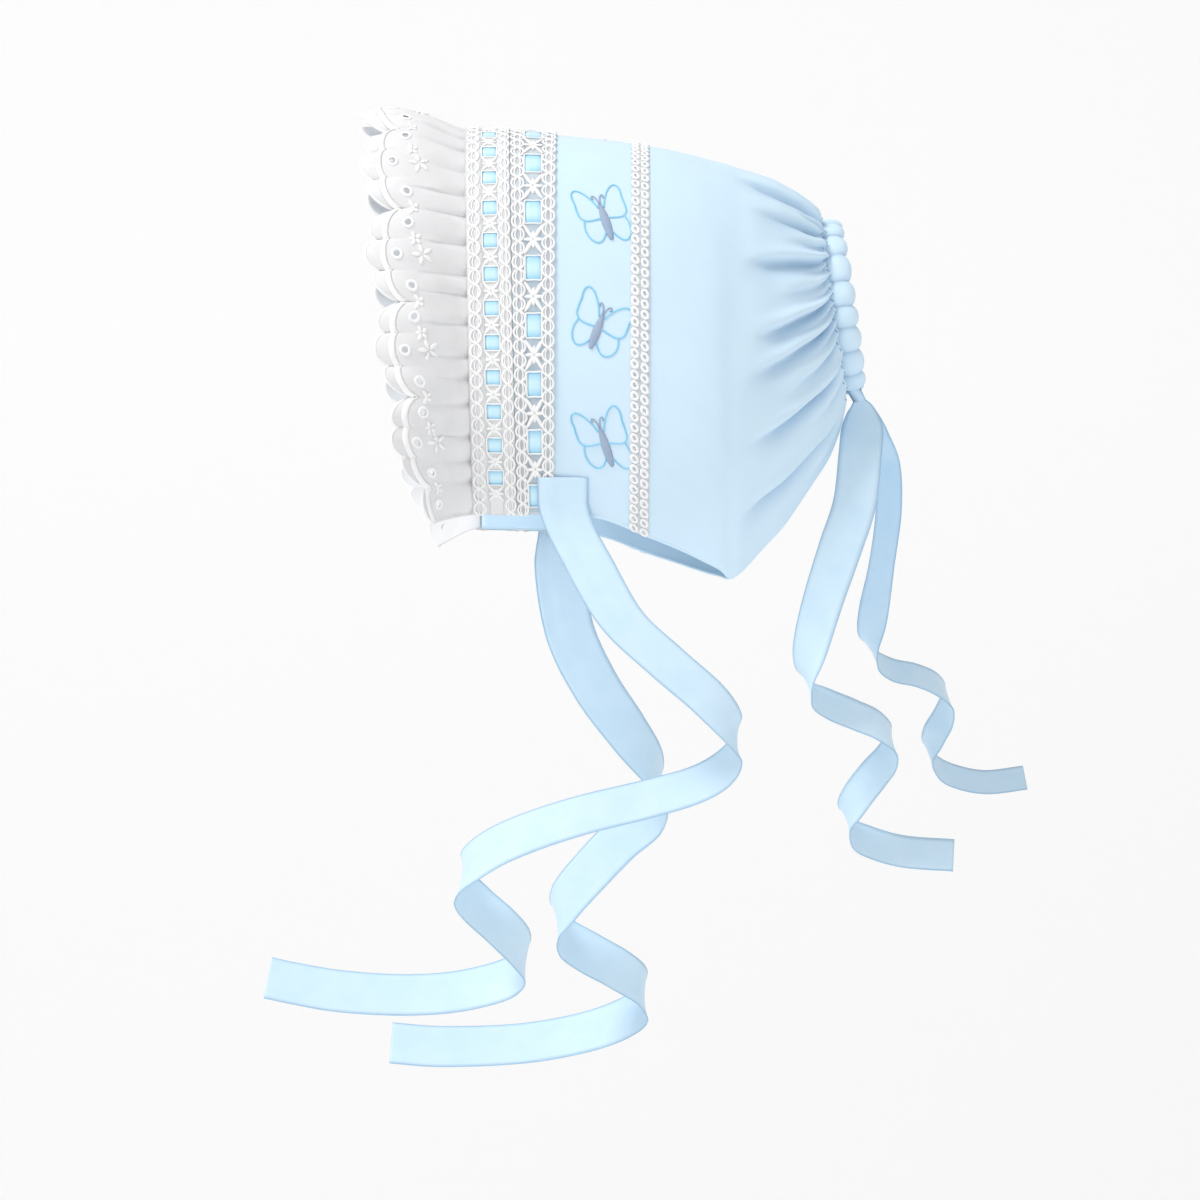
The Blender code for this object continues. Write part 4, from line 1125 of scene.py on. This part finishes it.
# butterflies: each outline is turned by its tilt and laid on the crown round its centre, three on each side
# and one on the top, with the far side the mirror image of the near one
def makeButterflies():
    shape = butterflies
    side = [shape["lowest"] - shape["pitch"] * number for number in range(3)]
    centres = np.array(side + [0.0] + [-place for place in side])
    rows = shape["at"] + np.array(shape["shift"] + (0.0,) + shape["shift"])[:, None]
    tilts = np.radians(shape["tilt"] * np.array((1, -1, 1, 0, 1, -1, 1)))[:, None]
    way = np.where(centres < 0, 1.0, -1.0)[:, None]
    halfArc = np.linalg.norm(np.diff(crownTable[np.searchsorted(crownTops, shape["at"])], axis=0), axis=1).sum()

    # one outline on all seven butterflies, drawn for each flip: 1 for its own side, -1 mirrored
    def laid(name, outline, flips, half, rise, finish, steps):
        line = smoothRows(outline, np.linspace(0, len(outline) - 1, steps)) * shape["reach"]
        paths, outs = [], []
        for flip in flips:
            across, up = line[None, :, 0] * flip, line[None, :, 1] * shape["tall"]
            turnedAcross = across * np.cos(tilts) - up * np.sin(tilts)
            turnedUp = across * np.sin(tilts) + up * np.cos(tilts)
            s = centres[:, None] + way * turnedUp / halfArc
            spot, out = bandSpot(s, rows + turnedAcross / crownShape["depth"], shape["lift"])
            paths.append(spot)
            outs.append(out)
        paths, outs = np.concatenate(paths), np.concatenate(outs)
        cordPiece(name, paths, outs, half, rise, finish, "beading_satin", False, 8)

    laid("butterflyUpperWings", upperWing, (1, -1), *shape["wingThread"], wingFinish, 60)
    laid("butterflyLowerWings", lowerWing, (1, -1), *shape["wingThread"], wingFinish, 36)
    laid("butterflyFeelers", feeler, (1, -1), *shape["feelerThread"], bodyFinish, 30)
    bodyHalf = shape["bodyHalf"] * np.sin(np.linspace(0.30, math.pi - 0.35, 24)) ** 0.9
    laid("butterflyBodies", bodyLine, (1,), bodyHalf[None], shape["bodyRise"], bodyFinish, 24)


makeButterflies()
print("stage: butterflies")


# hanging ribbons: each table's rows are back, up and out as shares of the scale, turn and lean of the width in
# degrees, and the share of the full width
hanging = {
    "scale": 0.200,
    "thickness": 0.00035,
    "selvage": (0.00032, 0.00030),
}


# middle line, direction of the width and half width of a hanging ribbon, all smooth through the table's rows
def hangingLine(spec, steps):
    rows = smoothRows(spec["table"], np.linspace(0, len(spec["table"]) - 1, steps))
    path = rows[:, (2, 0, 1)] * hanging["scale"]
    turn, lean = np.radians(rows[:, 3]), np.radians(rows[:, 4])
    hint = np.stack((np.sin(lean), np.cos(lean) * np.cos(turn), np.cos(lean) * np.sin(turn)), axis=1)
    return path, hint, rows[:, 5] * spec["width"] / 2


# half the width as a vector: the given direction less its part along the ribbon, at the half width's length
def acrossLine(path, hint, half):
    run = np.gradient(path, axis=0)
    run /= np.linalg.norm(run, axis=1, keepdims=True)
    wide = hint - run * (hint * run).sum(axis=1, keepdims=True)
    wide /= np.linalg.norm(wide, axis=1, keepdims=True)
    return wide * half[:, None]


# grid of a ribbon: from minus to plus the half width at each spot of the middle line
def ribbonGrid(path, wide, columns):
    return path[:, None] + wide[:, None] * np.linspace(-1, 1, columns)[None, :, None]


# satin ribbon of even thickness with a selvage cord along each edge; its flat width at each row is the distance
# between that row's two edges
def ribbonPiece(name, grid, node):
    steps = np.linalg.norm(np.diff(grid[:, grid.shape[1] // 2], axis=0), axis=1)
    length = np.concatenate(([0.0], np.cumsum(steps)))
    width = np.linalg.norm(grid[:, -1] - grid[:, 0], axis=1)
    across = np.linspace(-0.5, 0.5, grid.shape[1])[None, :] * width[:, None]
    uv = np.stack((across, np.broadcast_to(length[:, None], across.shape)), axis=-1)
    piece = clothPiece(name, grid, uv, hanging["thickness"], satinFinish, centred=True)
    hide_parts(node)
    edges = np.stack((grid[:, 0], grid[:, -1]))
    out = np.cross(grid[:, -1] - grid[:, 0], np.gradient(grid[:, 0], axis=0))
    out /= np.maximum(np.linalg.norm(out, axis=1, keepdims=True), 1e-12)
    outs = np.stack((out, out))
    cordPiece(name + "Selvage", edges, outs, *hanging["selvage"], selvageFinish, "blue_satin", False, 4)


tieLeft = {
    "width": 0.020,
    "table": np.array([
        (-0.074, -0.790, 0.198, 0, 0, 1.00),
        (-0.029, -0.863, 0.205, 8, -3, 1.00),
        (0.038, -0.969, 0.210, 20, -6, 0.97),
        (0.125, -1.044, 0.205, 45, -9, 0.94),
        (0.204, -1.106, 0.190, 65, -12, 0.91),
        (0.250, -1.156, 0.165, 80, -19, 0.88),
        (0.260, -1.187, 0.130, 95, -22, 0.86),
        (0.235, -1.223, 0.105, 100, -22, 0.86),
        (0.181, -1.252, 0.095, 95, -22, 0.86),
        (0.089, -1.277, 0.090, 98, -22, 0.86),
        (-0.035, -1.306, 0.085, 105, -22, 0.86),
        (-0.135, -1.337, 0.075, 105, -22, 0.86),
        (-0.208, -1.368, 0.055, 100, -22, 0.86),
        (-0.258, -1.406, 0.030, 88, -22, 0.86),
        (-0.262, -1.439, -0.005, 70, -24, 0.86),
        (-0.235, -1.471, -0.030, 55, -25, 0.86),
        (-0.193, -1.508, -0.040, 50, -25, 0.86),
        (-0.156, -1.547, -0.060, 65, -26, 0.86),
        (-0.144, -1.579, -0.095, 85, -26, 0.86),
        (-0.169, -1.602, -0.125, 95, -24, 0.86),
        (-0.216, -1.620, -0.135, 95, -24, 0.86),
        (-0.296, -1.635, -0.140, 93, -24, 0.86),
        (-0.393, -1.639, -0.140, 90, -24, 0.86),
        (-0.502, -1.632, -0.135, 90, -22, 0.86),
        (-0.587, -1.618, -0.130, 92, -22, 0.86),
        (-0.643, -1.606, -0.125, 90, -22, 0.86),
    ]),
}
tieRight = {
    "width": 0.020,
    "table": np.array([
        (-0.085, -0.790, -0.202, 0, 0, 1.00),
        (-0.090, -0.844, -0.215, 8, -3, 1.00),
        (-0.067, -0.959, -0.235, 20, -3, 0.97),
        (-0.015, -1.056, -0.250, 40, -7, 0.94),
        (0.048, -1.137, -0.270, 60, -12, 0.91),
        (0.100, -1.202, -0.300, 80, -19, 0.88),
        (0.119, -1.248, -0.335, 98, -22, 0.86),
        (0.096, -1.291, -0.370, 110, -19, 0.86),
        (0.038, -1.335, -0.385, 130, -12, 0.86),
        (-0.019, -1.393, -0.390, 138, -16, 0.86),
        (-0.065, -1.446, -0.400, 125, -22, 0.86),
        (-0.085, -1.489, -0.430, 100, -25, 0.86),
        (-0.065, -1.523, -0.465, 75, -24, 0.86),
        (-0.019, -1.552, -0.480, 60, -19, 0.86),
        (0.035, -1.581, -0.490, 60, -22, 0.86),
        (0.081, -1.614, -0.515, 80, -26, 0.86),
        (0.085, -1.649, -0.550, 95, -24, 0.86),
        (0.048, -1.677, -0.570, 100, -24, 0.86),
        (-0.019, -1.702, -0.575, 98, -24, 0.86),
        (-0.116, -1.722, -0.580, 95, -24, 0.86),
        (-0.212, -1.731, -0.580, 92, -24, 0.86),
        (-0.327, -1.733, -0.575, 90, -22, 0.86),
        (-0.418, -1.726, -0.570, 85, -22, 0.86),
    ]),
}


# the sewn top of a tie, in metres along the depth and up from the neck edge
tieTop = {
    "along": (-0.0242, -0.0036),
    "up": (0.0148, 0.0012),
    "sideLength": 0.170,
    "liftAt": (-0.150, -0.120, -0.108, -0.02),
    "lift": (0.0018, 0.0018, 0.0010, 0.0007),
    "rows": 14,
    "columns": 13,
    "freeRows": 420,
    "skipRows": 3,
    "blend": 6,
    "smoothRows": (10, 26),
    "smoothRounds": 30,
}


# rows of a grid between two numbers, averaged with their neighbours a few times
def smoothAlong(grid, first, last):
    grid = grid.copy()
    for _ in range(tieTop["smoothRounds"]):
        middle = grid[first:last]
        grid[first:last] = 0.5 * middle + 0.25 * (grid[first - 1:last - 1] + grid[first + 1:last + 1])
    return grid


# tie: its top end lies sewn over the crown's lower front corner, and the rest hangs free, starting at the last
# sewn row and coming back to its own line by an exponential fade
def makeTie(name, spec, side, node):
    top = tieTop
    path, hint, half = hangingLine(spec, top["freeRows"])
    free = ribbonGrid(path, acrossLine(path, hint, half), top["columns"])
    along = np.linspace(*top["along"], top["columns"])[None, :] / crownShape["depth"]
    s = side * (1 - np.linspace(*top["up"], top["rows"])[:, None] / top["sideLength"])
    sewn, _ = bandSpot(s, along, np.interp(along, top["liftAt"], top["lift"]))
    fade = np.exp(-np.linspace(0, top["blend"], top["freeRows"]))[:, None, None]
    free = (free + (sewn[-1] - free[0]) * fade)[top["skipRows"]:]
    ribbonPiece(name, smoothAlong(np.concatenate((sewn, free)), *top["smoothRows"]), node)


drawstringLeft = {
    "width": 0.016,
    "table": np.array([
        (0.500, -0.498, 0.014, 0, 0, 0.26),
        (0.504, -0.520, 0.020, 0, 0, 0.66),
        (0.504, -0.556, 0.038, -2, 6, 0.97),
        (0.499, -0.609, 0.065, -5, 5, 1.00),
        (0.487, -0.705, 0.095, -8, 3, 1.00),
        (0.458, -0.794, 0.115, -14, 3, 1.00),
        (0.425, -0.894, 0.125, -24, 7, 0.94),
        (0.402, -0.979, 0.125, -42, 16, 0.88),
        (0.393, -1.033, 0.110, -62, 22, 0.82),
        (0.406, -1.069, 0.085, -76, 25, 0.82),
        (0.439, -1.088, 0.070, -88, 26, 0.82),
        (0.487, -1.108, 0.065, -92, 27, 0.82),
        (0.531, -1.127, 0.055, -92, 29, 0.82),
        (0.560, -1.154, 0.030, -82, 31, 0.82),
        (0.551, -1.187, 0.005, -60, 28, 0.82),
        (0.524, -1.221, -0.005, -45, 22, 0.82),
        (0.493, -1.262, -0.015, -50, 22, 0.82),
        (0.475, -1.298, -0.035, -70, 22, 0.82),
        (0.491, -1.329, -0.060, -82, 22, 0.82),
        (0.527, -1.348, -0.070, -90, 22, 0.82),
        (0.589, -1.364, -0.075, -92, 22, 0.82),
        (0.683, -1.371, -0.075, -92, 22, 0.82),
    ]),
}
drawstringRight = {
    "width": 0.016,
    "table": np.array([
        (0.503, -0.498, -0.014, 0, 10, 0.26),
        (0.511, -0.520, -0.020, 0, 30, 0.66),
        (0.531, -0.557, -0.038, -3, 50, 0.97),
        (0.556, -0.613, -0.065, -5, 55, 1.00),
        (0.560, -0.700, -0.085, -8, 55, 1.00),
        (0.547, -0.805, -0.105, -10, 55, 1.00),
        (0.531, -0.898, -0.120, -20, 42, 0.94),
        (0.524, -0.954, -0.135, -50, 40, 0.88),
        (0.539, -0.986, -0.160, -75, 42, 0.82),
        (0.572, -1.006, -0.175, -88, 43, 0.82),
        (0.616, -1.015, -0.185, -94, 44, 0.82),
        (0.656, -1.031, -0.200, -92, 44, 0.82),
        (0.681, -1.056, -0.225, -75, 44, 0.82),
        (0.674, -1.092, -0.250, -50, 42, 0.82),
        (0.655, -1.127, -0.260, -45, 40, 0.82),
        (0.645, -1.160, -0.280, -70, 42, 0.82),
        (0.664, -1.187, -0.305, -84, 43, 0.82),
        (0.699, -1.206, -0.315, -92, 43, 0.82),
        (0.760, -1.217, -0.320, -90, 43, 0.82),
        (0.837, -1.208, -0.320, -72, 43, 0.82),
    ]),
}


drawstring = {"endRows": 300, "insideHalf": 0.0020, "skipRows": 6, "columns": 9}


# drawstring: left end, the length inside the casing, right end, all one ribbon bunched where it leaves
def makeDrawstring():
    leftPath, leftHint, leftHalf = hangingLine(drawstringLeft, drawstring["endRows"])
    rightPath, rightHint, rightHalf = hangingLine(drawstringRight, drawstring["endRows"])
    inside = casingRing[drawstring["skipRows"]:-drawstring["skipRows"]]
    path = np.concatenate((rightPath[::-1], inside, leftPath))
    hint = np.concatenate((rightHint[::-1], np.broadcast_to(casingBack, inside.shape), leftHint))
    half = np.concatenate((rightHalf[::-1], np.full(len(inside), drawstring["insideHalf"]), leftHalf))
    grid = ribbonGrid(path, acrossLine(path, hint, half), drawstring["columns"])
    ribbonPiece("drawstringRibbon", grid, "drawstring")


makeTie("tieLeftRibbon", tieLeft, 1, "tie_left")
makeTie("tieRightRibbon", tieRight, -1, "tie_right")
makeDrawstring()
print("stage: ties and drawstring")


studio = {
    "paper": (0.95, 0.95, 0.95, 1),
    "paperGlow": 0.08,
    "floorDrop": 0.60,
    "floorFront": 4.0,
    "wallAt": -2.4,
    "wallTop": 4.0,
    "bend": 0.8,
    "halfWidth": 5,
    "room": 0.66,
    # name, place, size and power of each soft light, all aimed at one spot
    "lights": (("key", (0.9, -1.2, 1.7), 0.7, 31.0), ("fill", (2.2, 1.0, -0.5), 1.6, 9.0)),
    "aim": (0, 0, -0.12),
}


# paper that turns up behind the object: a floor, a quarter circle and a wall, drawn along the width
def makePaper():
    material = bpy.data.materials.new("pale paper")
    material.use_nodes = True
    shader = material.node_tree.nodes["Principled BSDF"]
    shader.inputs["Base Color"].default_value = studio["paper"]
    shader.inputs["Roughness"].default_value = 0.9
    shader.inputs["Emission Color"].default_value = (1.0, 1.0, 1.0, 1)
    shader.inputs["Emission Strength"].default_value = studio["paperGlow"]
    turn = np.linspace(0, math.pi / 2, 24)
    bend, wall = studio["bend"], studio["wallAt"]
    profile = np.concatenate((
        np.array([(studio["floorFront"], 0.0)]),
        np.stack((wall + bend - bend * np.sin(turn), bend - bend * np.cos(turn)), axis=1),
        np.array([(wall, studio["wallTop"])]),
    ))
    across = np.linspace(-studio["halfWidth"], studio["halfWidth"], 3)
    height = np.repeat(profile[:, 1], 3) - studio["floorDrop"]
    points = np.stack((np.repeat(profile[:, 0], 3), np.tile(across, len(profile)), height), axis=1)
    number = np.arange(len(points)).reshape(-1, 3)
    corners = (number[1:, :-1], number[1:, 1:], number[:-1, 1:], number[:-1, :-1])
    quads = np.stack(corners, axis=-1).reshape(-1, 4)
    mesh = bpy.data.meshes.new("paperFloor")
    mesh.from_pydata(points.tolist(), [], quads.tolist())
    mesh.polygons.foreach_set("use_smooth", np.ones(len(quads), dtype=bool))
    mesh.materials.append(material)
    floor = bpy.data.objects.new("paperFloor", mesh)
    bpy.context.scene.collection.objects.link(floor)


# a white room of even light, and each lamp turned so that its axis meets the aim
def makeLights():
    world = bpy.data.worlds.new("soft room")
    bpy.context.scene.world = world
    world.use_nodes = True
    world.node_tree.nodes["Background"].inputs[0].default_value = (1.0, 1.0, 1.0, 1)
    world.node_tree.nodes["Background"].inputs[1].default_value = studio["room"]
    bpy.context.scene.view_settings.view_transform = "Standard"
    for name, place, size, power in studio["lights"]:
        light = bpy.data.lights.new(name, "AREA")
        light.size = size
        light.energy = power
        lamp = bpy.data.objects.new(name, light)
        lamp.location = place
        lamp.rotation_euler = (Vector(studio["aim"]) - Vector(place)).to_track_quat("-Z", "Y").to_euler()
        bpy.context.scene.collection.objects.link(lamp)


# distance and the width seen at the target in metres, elevation in degrees
cameraPlace = {"distance": 2.6, "elevation": -4.5, "target": (0.0, 0.0, -0.1765), "seen": 0.462}


# camera on the wearer's left: its lens is the sensor's width times the distance over the width seen
def makeCamera():
    camera = bpy.data.cameras.new("photo camera")
    camera.sensor_width = 36.0
    camera.lens = camera.sensor_width * cameraPlace["distance"] / cameraPlace["seen"]
    target = Vector(cameraPlace["target"])
    tilt = math.radians(cameraPlace["elevation"])
    eye = target + cameraPlace["distance"] * Vector((math.cos(tilt), 0, math.sin(tilt)))
    holder = bpy.data.objects.new("photo camera", camera)
    holder.location = eye
    holder.rotation_euler = (target - eye).to_track_quat("-Z", "Y").to_euler()
    bpy.context.scene.collection.objects.link(holder)
    bpy.context.scene.camera = holder


makePaper()
makeLights()
makeCamera()
print("stage: stage, lights and camera")
